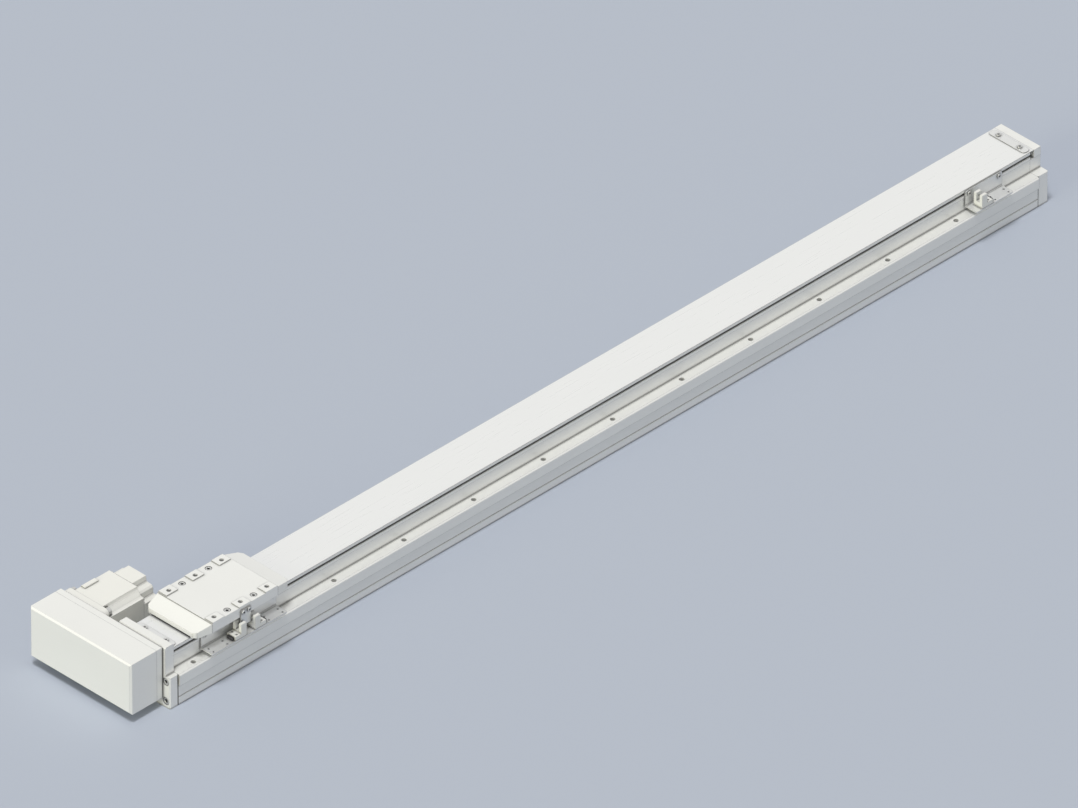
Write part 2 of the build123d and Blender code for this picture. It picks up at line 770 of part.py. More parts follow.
housing_corner = [
    (housing_flat, casing_half),
    (corner_near, corner_far),
    (corner_far, corner_near),
    (casing_half, housing_flat),
]
rear_corner = [
    (arm_flat, casing_half),
    (arm_root, arm_shoulder),
    (rear_near, rear_far),
    (rear_far, rear_near),
    (arm_shoulder, arm_root),
    (casing_half, arm_flat),
]
tie_spots = [(motor_y + a, axis_z + b) for a, b in four_fold([(tie_across, tie_out)])]
rotor_x1 = motor_housing_x1 - rotor_end_gap
with BuildPart() as motor_housing:
    motor_casing(flange_length, motor_housing_x1, housing_corner)
    cylinder_x(flange_length, motor_housing_x1, stator_bore_r, motor_y, mode=Mode.SUBTRACT)
    drill(
        facing((-1, 0, 0), [(flange_length, y, z) for y, z in motor_spots]), scallop_r, scallop_length
    )
    drill(facing((1, 0, 0), [(motor_housing_x1, y, z) for y, z in tie_spots]), m3["core"], tie_depth)
finish(motor_housing.part, "motor_housing")

with BuildPart() as motor_rear_cover:
    motor_casing(motor_housing_x1, motor_x1, rear_corner)
    rear_face = motor_rear_cover.faces().sort_by(Axis.X)[-1]
    chamfer(rear_face.edges(), rear_chamfer)
    cylinder_x(
        motor_housing_x1,
        motor_housing_x1 + rear_journal_length + rotor_end_gap,
        rear_journal_r + motor_shaft_fit,
        motor_y,
        mode=Mode.SUBTRACT,
    )
finish(motor_rear_cover.part, "motor_rear_cover")

tie_seats = facing((1, 0, 0), [(motor_housing_x1, y, z) for y, z in tie_spots])
finish(cap_screws(tie_seats, m3, tie_depth - ring_width), "motor_tie_screws")
motor_seats = facing((1, 0, 0), [(flange_length, y, z) for y, z in motor_spots])
finish(cap_screws(motor_seats, m5, flange_length + drive_plate_length - ring_width), "motor_screws")

# Low cover over the cable socket, on the outer edge of the motor's top
with BuildPart() as motor_socket:
    box_between(
        (socket_x, motor_y + housing_flat - socket_width, axis_z + casing_half),
        (socket_x + socket_length, motor_y + housing_flat, axis_z + casing_half + socket_rise),
    )
    chamfer(motor_socket.faces().sort_by(Axis.Z)[-1].edges(), socket_chamfer)
finish(motor_socket.part, "motor_socket")

with BuildPart() as motor_shaft:
    cylinder_x(pulley_journal_x0, flange_length + rotor_end_gap, motor_shaft_r, motor_y)
    cylinder_x(flange_length + rotor_end_gap, rotor_x1, rotor_shaft_r, motor_y)
    cylinder_x(rotor_x1, motor_housing_x1 + rear_journal_length, rear_journal_r, motor_y)
    chamfer(motor_shaft.edges().filter_by(GeomType.CIRCLE).sort_by(Axis.X)[0], thread_chamfer)
finish(motor_shaft.part, "motor_shaft")

with BuildPart() as rotor_core:
    cylinder_x(flange_length + rotor_end_gap, rotor_x1, rotor_r, motor_y)
    cylinder_x(
        flange_length + rotor_end_gap, rotor_x1, rotor_shaft_r + bearing_fit, motor_y, mode=Mode.SUBTRACT
    )
finish(rotor_core.part, "motor_rotor")

# Carriage table with six raised pads round its threaded holes
table_xs = [dog_rest_x + (i - (table_hole_rows - 1) / 2) * table_hole_pitch for i in range(table_hole_rows)]
table_screw_xs = [dog_rest_x - table_hole_pitch / 2, dog_rest_x + table_hole_pitch / 2]
table_screw_spots = [(x, y) for x in table_screw_xs for y in (table_hole_y, -table_hole_y)]
dog_xs = [dog_rest_x - dog_screw_half, dog_rest_x + dog_screw_half]
with BuildPart() as table_plate:
    box_between((table_x0, -table_half, table_under_z), (table_x1, table_half, table_top_z))
    for x in table_xs:
        for side in (1, -1):
            pad_y0, pad_y1 = sorted((side * (table_half - pad_width), side * table_half))
            box_between(
                (x - pad_length / 2, pad_y0, table_top_z), (x + pad_length / 2, pad_y1, pad_z)
            )
    saddle_room = saddle_half + saddle_gap
    box_between(
        (table_x0, -saddle_room, table_under_z), (table_x1, saddle_room, saddle_z), mode=Mode.SUBTRACT
    )
    box_between((table_x0, -tunnel_half, saddle_z), (table_x1, tunnel_half, tunnel_z), mode=Mode.SUBTRACT)
    threaded = [(x, y, pad_z) for x in table_xs for y in (table_hole_y, -table_hole_y)]
    drill(facing((0, 0, 1), threaded), table_hole_r, pad_z - table_under_z)
    sunk = facing((0, 0, 1), [(x, y, table_top_z) for x, y in table_screw_spots])
    drill(sunk, m4["clear"], table_top_z - table_under_z)
    drill(sunk, m4["head"] + sink_gap, m4["height"] + head_recess)
    drill(facing((0, -1, 0), [(x, -table_half, dog_screw_z) for x in dog_xs]), m3["core"], dog_screw_depth)
finish(table_plate.part, "table_plate")

table_seat_z = table_top_z - m4["height"] - head_recess
table_seats = facing((0, 0, 1), [(x, y, table_seat_z) for x, y in table_screw_spots])
finish(cap_screws(table_seats, m4, table_seat_z - table_under_z - bearing_setback), "table_screws")

# Saddle plate and the block that runs between the rails and holds the ball nut
saddle_screw_xs = [saddle_x0 + saddle_screw_inset, saddle_x1 - saddle_screw_inset]
saddle_screw_spots = [(x, y) for x in saddle_screw_xs for y in (saddle_screw_y, -saddle_screw_y)]
with BuildPart() as saddle_plate:
    box_between((saddle_x0, -saddle_half, table_under_z), (saddle_x1, saddle_half, saddle_z))
    drill(facing((0, 0, 1), [(x, y, saddle_z) for x, y in table_screw_spots]), m4["core"], saddle_thick)
    sunk = facing((0, 0, 1), [(x, y, saddle_z) for x, y in saddle_screw_spots])
    drill(sunk, m3["clear"], saddle_thick)
    drill(sunk, m3["head"] + sink_gap, m3["height"] + head_recess)
finish(saddle_plate.part, "saddle_plate")

saddle_seat_z = saddle_z - m3["height"] - head_recess
saddle_seats = facing((0, 0, 1), [(x, y, saddle_seat_z) for x, y in saddle_screw_spots])
finish(cap_screws(saddle_seats, m3, saddle_screw_length), "saddle_screws")

nut_x0 = saddle_x0 - nut_flange_length
nut_x1 = saddle_x0 + nut_body_length
nut_turn = math.radians(nut_screw_angle)
nut_spots = [
    (a * nut_screw_circle_r * math.cos(nut_turn), axis_z + b * nut_screw_circle_r * math.sin(nut_turn))
    for a in (1, -1)
    for b in (1, -1)
]
with BuildPart() as slide_block:
    box_between((saddle_x0, -block_half, block_z0), (saddle_x1, block_half, table_under_z))
    for side in (1, -1):
        cylinder_x(saddle_x0, saddle_x1, ball_groove_r, side * groove_y, rail_z, mode=Mode.SUBTRACT)
    cylinder_x(saddle_x0, saddle_x1, housing_bore_r, mode=Mode.SUBTRACT)
    cylinder_x(saddle_x0, nut_x1 + ring_width, nut_r + nut_bore_gap, mode=Mode.SUBTRACT)
    drill(
        facing((-1, 0, 0), [(saddle_x0, y, z) for y, z in nut_spots]), m3["core"], nut_screw_length
    )
    drill(
        facing((0, 0, 1), [(x, y, table_under_z) for x, y in saddle_screw_spots]),
        m3["core"],
        saddle_screw_length,
    )
finish(slide_block.part, "slide_block")

with BuildPart() as ball_nut:
    cylinder_x(saddle_x0, nut_x1, nut_r)
    with BuildSketch(Plane(origin=(nut_x0, 0, axis_z), x_dir=(0, 1, 0), z_dir=(1, 0, 0))):
        Circle(nut_flange_r)
        Rectangle(2 * nut_flange_r, 2 * nut_flat, mode=Mode.INTERSECT)
    extrude(amount=nut_flange_length)
    cylinder_x(nut_x0, nut_x1, screw_r + screw_fit, mode=Mode.SUBTRACT)
    drill(facing((-1, 0, 0), [(nut_x0, y, z) for y, z in nut_spots]), m3["clear"], nut_flange_length)
finish(ball_nut.part, "ball_nut")

nut_seats = facing((-1, 0, 0), [(nut_x0, y, z) for y, z in nut_spots])
finish(cap_screws(nut_seats, m3, nut_flange_length + nut_screw_length - ring_width), "ball_nut_screws")

# Ball return caps on the ends of the slide block, below the nut
return_half = block_half - return_cap_inset
with BuildPart() as ball_return_caps:
    for x0, x1 in ((saddle_x0 - return_cap_length, saddle_x0), (saddle_x1, saddle_x1 + return_cap_length)):
        box_between(
            (x0, -return_half, block_z0 + return_cap_inset),
            (x1, return_half, axis_z - nut_flat - return_cap_gap),
        )
finish(ball_return_caps.part, "ball_return_caps")

# Wedge caps that lift and lower the cover strip at each end of the table
cap_top_z = table_top_z - cap_step
mouth_z = strip_z + cap_mouth
ramp_slope = strip_lift / (cap_length - strip_flat)
for out, end_x, name in ((-1, table_x0, "drive_side"), (1, table_x1, "far_side")):
    tip_x = end_x + out * cap_length
    corner_x = tip_x - out * cap_corner
    tip_half = table_half - cap_taper
    corner_half = tip_half + cap_taper * cap_corner / cap_length
    with BuildPart() as wedge_cap:
        with BuildSketch(Plane.XZ):
            with BuildLine():
                Polyline(
                    (end_x, table_under_z),
                    (end_x, cap_top_z),
                    (tip_x, cap_top_z - cap_drop),
                    (tip_x, table_under_z),
                    close=True,
                )
            make_face()
        extrude(amount=table_half, both=True)
        with BuildSketch(Plane.XY.offset(table_under_z)):
            with BuildLine():
                Polyline(
                    (end_x, table_half),
                    (corner_x, corner_half),
                    (tip_x, tip_half - cap_corner),
                    (tip_x, cap_corner - tip_half),
                    (corner_x, -corner_half),
                    (end_x, -table_half),
                    close=True,
                )
            make_face()
        extrude(amount=cap_top_z - table_under_z, mode=Mode.INTERSECT)
        with BuildSketch(Plane.XZ):
            with BuildLine():
                Polyline(
                    (tip_x, table_under_z),
                    (tip_x, mouth_z),
                    (tip_x - out * strip_flat, mouth_z),
                    (end_x, tunnel_z),
                    (end_x, table_under_z),
                    close=True,
                )
            make_face()
        extrude(amount=tunnel_half, both=True, mode=Mode.SUBTRACT)
    finish(wedge_cap.part, f"{name}_wedge_cap")

# Guides under the lifted strip, one inside each wedge cap
guide_top_z = lifted_z - guide_clear
with BuildPart() as strip_guides:
    for out, end_x in ((-1, table_x0), (1, table_x1)):
        guide_x = end_x + out * guide_reach
        saddle_end_x = end_x - out * saddle_inset
        with BuildSketch(Plane.XZ):
            with BuildLine():
                Polyline(
                    (guide_x, table_under_z),
                    (guide_x, guide_top_z - guide_reach * ramp_slope),
                    (end_x, guide_top_z),
                    (saddle_end_x, guide_top_z),
                    (saddle_end_x, table_under_z),
                    close=True,
                )
            make_face()
        extrude(amount=guide_half, both=True)
finish(strip_guides.part, "strip_guides")

# Cover strip in three lengths, the middle one lifted through the carriage
lift_x0 = cap_x0 + strip_joint_in + strip_joint / 2
lift_x1 = cap_x1 - strip_joint_in - strip_joint / 2
lift_line = [
    (lift_x0, wall_top_z),
    (cap_x0 + strip_flat, wall_top_z),
    (table_x0, lifted_z),
    (table_x1, lifted_z),
    (cap_x1 - strip_flat, wall_top_z),
    (lift_x1, wall_top_z),
]
with BuildPart() as lifted_strip:
    with BuildSketch(Plane.XZ):
        with BuildLine():
            Polyline(*lift_line, *[(x, z + strip_thick) for x, z in reversed(lift_line)], close=True)
        make_face()
    extrude(amount=strip_half, both=True)
finish(lifted_strip.part, "cover_strip_lifted")

clamp_ys = (clamp_screw_y, -clamp_screw_y)
clamp_z = strip_z + clamp_thick
for x0, x1, clamp_x, name in (
    (beam_x0, lift_x0 - strip_joint, near_clamp_x, "near"),
    (lift_x1 + strip_joint, strip_x1, far_clamp_x, "far"),
):
    with BuildPart() as strip_piece:
        box_between((x0, -strip_half, wall_top_z), (x1, strip_half, strip_z))
        drill(facing((0, 0, 1), [(clamp_x, y, strip_z) for y in clamp_ys]), m3["clear"], strip_thick)
    finish(strip_piece.part, f"cover_strip_{name}")

with BuildPart() as strip_clamps:
    with BuildSketch(Plane.XY.offset(strip_z)):
        with Locations((near_clamp_x, 0), (far_clamp_x, 0)):
            RectangleRounded(clamp_length, 2 * clamp_half, clamp_corner_r)
    extrude(amount=clamp_thick)
    bar_tops = [(x, y, clamp_z) for x in (near_clamp_x, far_clamp_x) for y in clamp_ys]
    drill(facing((0, 0, 1), bar_tops), m3["clear"], clamp_thick)
finish(strip_clamps.part, "strip_clamps")

clamp_seats = facing((0, 0, 1), bar_tops)
clamp_screw_length = clamp_thick + strip_thick + clamp_screw_depth - thread_gap
finish(cap_screws(clamp_seats, m3, clamp_screw_length), "strip_clamp_screws")

# Trip dog on the side of the table
with BuildPart() as trip_dog:
    box_between(
        (dog_rest_x - dog_width / 2, -table_half - dog_thick, dog_bottom_z),
        (dog_rest_x + dog_width / 2, -table_half, dog_top_z),
    )
    dog_face_y = -table_half - dog_thick
    drill(facing((0, -1, 0), [(x, dog_face_y, dog_screw_z) for x in dog_xs]), m3["clear"], dog_thick)
finish(trip_dog.part, "trip_dog")

dog_seats = facing((0, -1, 0), [(x, dog_face_y, dog_screw_z) for x in dog_xs])
finish(cap_screws(dog_seats, m3, dog_thick + dog_screw_depth - bearing_setback), "trip_dog_screws")

# Sensor brackets, bent from sheet and fixed to T-nuts in the slot
near_bracket_x1 = near_bracket_x + near_bracket_length
far_bracket_x1 = beam_x1 - far_bracket_setback
far_bracket_x = far_bracket_x1 - far_bracket_length
sensor_slot_y = table_half + dog_thick / 2
bracket_edge_y = -sensor_slot_y - bracket_reach
near_hole_xs = [near_bracket_x + bracket_margin + i * bracket_hole_pitch for i in range(near_hole_count)]
far_hole_xs = [far_bracket_x1 - bracket_margin - i * bracket_hole_pitch for i in range(far_hole_count)]
pair_ys = (-sensor_slot_y - bracket_hole_half, -sensor_slot_y + bracket_hole_half)
wall_face_y = -head_half
plate_face_y = wall_face_y - sheet
bracket_screw_xs = []
for x0, x1, hole_xs, name in (
    (near_bracket_x, near_bracket_x1, near_hole_xs, "near"),
    (far_bracket_x, far_bracket_x1, far_hole_xs, "far"),
):
    screw_xs = [x0 + bracket_screw_inset, x1 - bracket_screw_inset]
    bracket_screw_xs += screw_xs
    with BuildPart() as bracket:
        box_between((x0, bracket_edge_y, bracket_seat_z - sheet), (x1, wall_face_y, bracket_seat_z))
        box_between((x0, plate_face_y, bracket_seat_z), (x1, wall_face_y, bracket_top_z))
        outer_corners = bracket.edges().filter_by(Axis.Z).group_by(Axis.Y)[0]
        top_corners = bracket.edges().filter_by(Axis.Y).group_by(Axis.Z)[-1]
        fillet(outer_corners + top_corners, bracket_corner_r)
        bend_middle = ((x0 + x1) / 2, plate_face_y, bracket_seat_z)
        fillet(bracket.edges().filter_by(Axis.X).sort_by_distance(bend_middle)[0], bracket_bend_r)
        pair_spots = [(x, y, bracket_seat_z) for x in hole_xs for y in pair_ys]
        drill(facing((0, 0, 1), pair_spots), m2["clear"], sheet)
        drill(facing((0, -1, 0), [(x, plate_face_y, slot_z) for x in screw_xs]), m3["clear"], sheet)
    finish(bracket.part, f"sensor_bracket_{name}")

bracket_seats = facing((0, -1, 0), [(x, plate_face_y, slot_z) for x in bracket_screw_xs])
nut_back_y = -(head_half - slot_depth) - tee_gap
nut_front_y = -(head_half - slot_lip) + tee_gap
finish(cap_screws(bracket_seats, m3, sheet + slot_depth - tee_gap), "bracket_screws")
with BuildPart() as slot_nuts:
    for x in bracket_screw_xs:
        box_between(
            (x - tee_length / 2, nut_front_y, pocket_low + tee_gap),
            (x + tee_length / 2, nut_back_y, pocket_high - tee_gap),
        )
    drill(facing((0, -1, 0), [(x, nut_front_y, slot_z) for x in bracket_screw_xs]), m3["core"], slot_depth)
finish(slot_nuts.part, "slot_nuts")

# Slotted sensors, each on one pair of bracket holes
base_z1 = bracket_seat_z + sensor_base_height
fork_out = sensor_slot / 2 + sensor_prong
sensors = (
    (near_hole_xs[2], -1, "sensor_near_limit"),
    (near_hole_xs[3], 1, "sensor_home"),
    (far_hole_xs[-1], 1, "sensor_far_limit"),
)
for hole_x, out, name in sensors:
    fork_x0 = hole_x - sensor_hole_inset
    fork_x1 = fork_x0 + sensor_prong_length
    foot_x0 = fork_x0 - (sensor_base_length if out < 0 else 0)
    foot_x1 = fork_x1 + (sensor_base_length if out > 0 else 0)
    with BuildPart() as sensor:
        box_between(
            (foot_x0, -sensor_slot_y - fork_out, bracket_seat_z),
            (foot_x1, -sensor_slot_y + fork_out, base_z1),
        )
        box_between(
            (fork_x0, -sensor_slot_y - fork_out, base_z1),
            (fork_x1, -sensor_slot_y + fork_out, bracket_seat_z + sensor_height),
        )
        box_between(
            (fork_x0, -sensor_slot_y - sensor_slot / 2, bracket_seat_z + sensor_web_height),
            (fork_x1, -sensor_slot_y + sensor_slot / 2, bracket_seat_z + sensor_height),
            mode=Mode.SUBTRACT,
        )
        prong_tops = sensor.faces().filter_by(Axis.Z).group_by(Axis.Z)[-1].edges()
        chamfer(prong_tops, sensor_chamfer)
        under = [(hole_x, y, bracket_seat_z) for y in pair_ys]
        drill(facing((0, 0, -1), under), m2["core"], sensor_screw_depth)
    finish(sensor.part, name)

with BuildPart() as sensor_plugs:
    for hole_x, out, name in sensors:
        fork_x0 = hole_x - sensor_hole_inset
        near_end = fork_x0 - sensor_base_length
        far_end = fork_x0 + sensor_prong_length + sensor_base_length
        foot_end = near_end if out < 0 else far_end
        plug_x0, plug_x1 = sorted((foot_end, foot_end + out * connector_length))
        box_between(
            (plug_x0, -sensor_slot_y - connector_half, bracket_seat_z + connector_rise),
            (plug_x1, -sensor_slot_y + connector_half, bracket_seat_z + connector_rise + connector_height),
        )
finish(sensor_plugs.part, "sensor_sockets")

under_z = bracket_seat_z - sheet
sensor_seats = facing((0, 0, -1), [(x, y, under_z) for x, out, name in sensors for y in pair_ys])
finish(cap_screws(sensor_seats, m2, sheet + sensor_screw_depth - bearing_setback), "sensor_screws")
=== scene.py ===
import json
import math

import bmesh
import bpy
import numpy as np
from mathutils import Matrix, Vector

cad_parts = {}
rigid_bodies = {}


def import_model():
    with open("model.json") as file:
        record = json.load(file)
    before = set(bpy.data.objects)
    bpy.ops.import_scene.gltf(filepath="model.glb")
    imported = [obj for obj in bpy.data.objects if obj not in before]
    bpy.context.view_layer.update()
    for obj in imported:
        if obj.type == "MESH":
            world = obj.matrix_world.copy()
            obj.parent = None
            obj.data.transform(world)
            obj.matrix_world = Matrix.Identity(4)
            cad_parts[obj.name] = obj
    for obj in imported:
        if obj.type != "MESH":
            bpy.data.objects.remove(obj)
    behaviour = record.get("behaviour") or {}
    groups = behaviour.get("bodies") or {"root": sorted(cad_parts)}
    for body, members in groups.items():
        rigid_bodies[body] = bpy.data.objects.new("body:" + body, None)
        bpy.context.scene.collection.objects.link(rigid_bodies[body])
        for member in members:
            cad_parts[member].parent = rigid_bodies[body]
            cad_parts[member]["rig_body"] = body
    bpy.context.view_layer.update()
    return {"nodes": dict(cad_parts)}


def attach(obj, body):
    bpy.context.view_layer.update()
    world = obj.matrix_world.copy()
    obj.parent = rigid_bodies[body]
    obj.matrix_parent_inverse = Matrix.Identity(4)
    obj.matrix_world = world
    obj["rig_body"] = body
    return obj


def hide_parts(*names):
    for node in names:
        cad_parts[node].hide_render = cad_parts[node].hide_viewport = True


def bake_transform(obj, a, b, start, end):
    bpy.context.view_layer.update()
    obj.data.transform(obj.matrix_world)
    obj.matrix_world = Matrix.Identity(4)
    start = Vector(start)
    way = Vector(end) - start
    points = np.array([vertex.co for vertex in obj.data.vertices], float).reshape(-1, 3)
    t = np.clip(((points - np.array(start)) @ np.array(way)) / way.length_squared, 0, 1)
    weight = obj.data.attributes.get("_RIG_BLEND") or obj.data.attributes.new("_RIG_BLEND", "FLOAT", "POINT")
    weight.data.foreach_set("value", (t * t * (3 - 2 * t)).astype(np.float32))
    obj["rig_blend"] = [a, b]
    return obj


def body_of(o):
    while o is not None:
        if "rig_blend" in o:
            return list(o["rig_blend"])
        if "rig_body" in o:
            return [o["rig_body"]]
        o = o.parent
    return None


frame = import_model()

mm = 0.001
weldDigits = 6  # points that agree to this many digits, in metres, are one
weld = 10 ** -weldDigits
nodes = frame["nodes"]


def newObject(name, data):
    made = bpy.data.objects.new(name, data)
    bpy.context.scene.collection.objects.link(made)
    return made


# Camera: an isometric look, seen from far away through a long lens. Lens and sensor are in mm, and the two
# clips are shares of the distance
camera = {
    "aim": (0.6419, 0.0750, 0.0),
    "direction": (-1.0, -1.0, 1.0),
    "frameWidth": 1.102,
    "lens": 1200.0,
    "sensor": 36.0,
    "clipStart": 0.1,
    "clipEnd": 3.0,
}


def makeCamera():
    data = bpy.data.cameras.new("camera")
    data.lens = camera["lens"]
    data.sensor_width = camera["sensor"]
    away = Vector(camera["direction"]).normalized()
    distance = camera["frameWidth"] * camera["lens"] / camera["sensor"]
    data.clip_start = distance * camera["clipStart"]
    data.clip_end = distance * camera["clipEnd"]
    eye = newObject("camera", data)
    eye.location = Vector(camera["aim"]) + away * distance
    eye.rotation_euler = (-away).to_track_quat("-Z", "Y").to_euler()
    bpy.context.scene.camera = eye


makeCamera()
print("camera placed")


# Small parts that the shaders below are built from: a socket takes a plain value or another node's output
def feed(tree, socket, given):
    if isinstance(given, bpy.types.NodeSocket):
        tree.links.new(given, socket)
    else:
        socket.default_value = given


def mathNode(tree, operation, first, second):
    node = tree.nodes.new("ShaderNodeMath")
    node.operation = operation
    feed(tree, node.inputs[0], first)
    feed(tree, node.inputs[1], second)
    return node.outputs[0]


def rangeNode(tree, value, fromRange, toRange):
    node = tree.nodes.new("ShaderNodeMapRange")
    for label, given in zip(("From Min", "From Max", "To Min", "To Max"), (*fromRange, *toRange)):
        node.inputs[label].default_value = given
    tree.links.new(value, node.inputs["Value"])
    return node.outputs["Result"]


def noiseNode(tree, vector, scale, detail, rough):
    node = tree.nodes.new("ShaderNodeTexNoise")
    node.inputs["Detail"].default_value = detail
    node.inputs["Roughness"].default_value = rough
    feed(tree, node.inputs["Scale"], scale)
    tree.links.new(vector, node.inputs["Vector"])
    return node.outputs["Fac"]


# A Mix node's colour sockets are its seventh and eighth inputs and its third output
def mixColor(tree, factor, first, second):
    node = tree.nodes.new("ShaderNodeMix")
    node.data_type = "RGBA"
    tree.links.new(factor, node.inputs[0])
    for socket, given in ((node.inputs[6], first), (node.inputs[7], second)):
        feed(tree, socket, (*given, 1.0) if isinstance(given, tuple) else given)
    return node.outputs[2]


def newGroup(name, inputs, outputs):
    group = bpy.data.node_groups.new(name, "ShaderNodeTree")
    for label, kind in inputs.items():
        group.interface.new_socket(label, in_out="INPUT", socket_type=kind)
    for label in outputs:
        group.interface.new_socket(label, in_out="OUTPUT", socket_type="NodeSocketFloat")
    return group, group.nodes.new("NodeGroupInput"), group.nodes.new("NodeGroupOutput")


def placeGroup(tree, group, values):
    node = tree.nodes.new("ShaderNodeGroup")
    node.node_tree = group
    for label, value in values.items():
        node.inputs[label].default_value = value
    return node.outputs


# Machined grain: fine streaks and wide blotches
grainLook = {
    "streakDetail": 4.0,
    "streakRough": 0.6,
    "blotchScale": 14.0,
    "blotchDetail": 2.0,
    "blotchRough": 0.5,
}


# Streaks: noise on the object's own coordinates, squeezed along each axis by Stretch. Blotches: the same
# without the squeeze
def makeGrain():
    kind = grainLook
    inputs = {"Stretch": "NodeSocketVector", "Scale": "NodeSocketFloat"}
    group, inside, outside = newGroup("machinedGrain", inputs, ["Streaks", "Blotches"])
    place = group.nodes.new("ShaderNodeTexCoord").outputs["Object"]
    squeeze = group.nodes.new("ShaderNodeVectorMath")
    squeeze.operation = "MULTIPLY"
    group.links.new(place, squeeze.inputs[0])
    group.links.new(inside.outputs["Stretch"], squeeze.inputs[1])
    scale = inside.outputs["Scale"]
    streaks = noiseNode(group, squeeze.outputs[0], scale, kind["streakDetail"], kind["streakRough"])
    blotches = noiseNode(group, place, kind["blotchScale"], kind["blotchDetail"], kind["blotchRough"])
    group.links.new(streaks, outside.inputs["Streaks"])
    group.links.new(blotches, outside.inputs["Blotches"])
    return group


# Edges and painted shade: lean is the cosine between the flat and the rounded normal, and open is the share
# of the sky that a point sees, which sets how much shade is painted into crevices and between parts
edgeAndShadeLook = {
    "samples": 4,
    "lean": (0.995, 0.88),
    "open": (0.95, 0.55),
}


# Both masks run from 0 to 1 over these ranges: Edge as the rounded normal leans away, within Reach of the
# edge, and the crevice mask, which is painted shade, as the sky closes, within Depth
def makeEdgesAndPaintedShade():
    kind = edgeAndShadeLook
    inputs = {"Reach": "NodeSocketFloat", "Depth": "NodeSocketFloat"}
    group, inside, outside = newGroup("edgesAndCrevices", inputs, ["Edge", "Crevice"])
    rounded = group.nodes.new("ShaderNodeBevel")
    rounded.samples = kind["samples"]
    group.links.new(inside.outputs["Reach"], rounded.inputs["Radius"])
    shape = group.nodes.new("ShaderNodeNewGeometry")
    lean = group.nodes.new("ShaderNodeVectorMath")
    lean.operation = "DOT_PRODUCT"
    group.links.new(rounded.outputs[0], lean.inputs[0])
    group.links.new(shape.outputs["Normal"], lean.inputs[1])
    edge = rangeNode(group, lean.outputs["Value"], kind["lean"], (0.0, 1.0))
    # Ambient occlusion: where the sky closes in, in corners and between parts, this mask paints shade into
    # the colour
    shade = group.nodes.new("ShaderNodeAmbientOcclusion")
    shade.samples = kind["samples"]
    group.links.new(inside.outputs["Depth"], shade.inputs["Distance"])
    crevice = rangeNode(group, shade.outputs["AO"], kind["open"], (0.0, 1.0))
    group.links.new(edge, outside.inputs["Edge"])
    group.links.new(crevice, outside.inputs["Crevice"])
    return group


grainGroup = makeGrain()
edgeAndShadeGroup = makeEdgesAndPaintedShade()

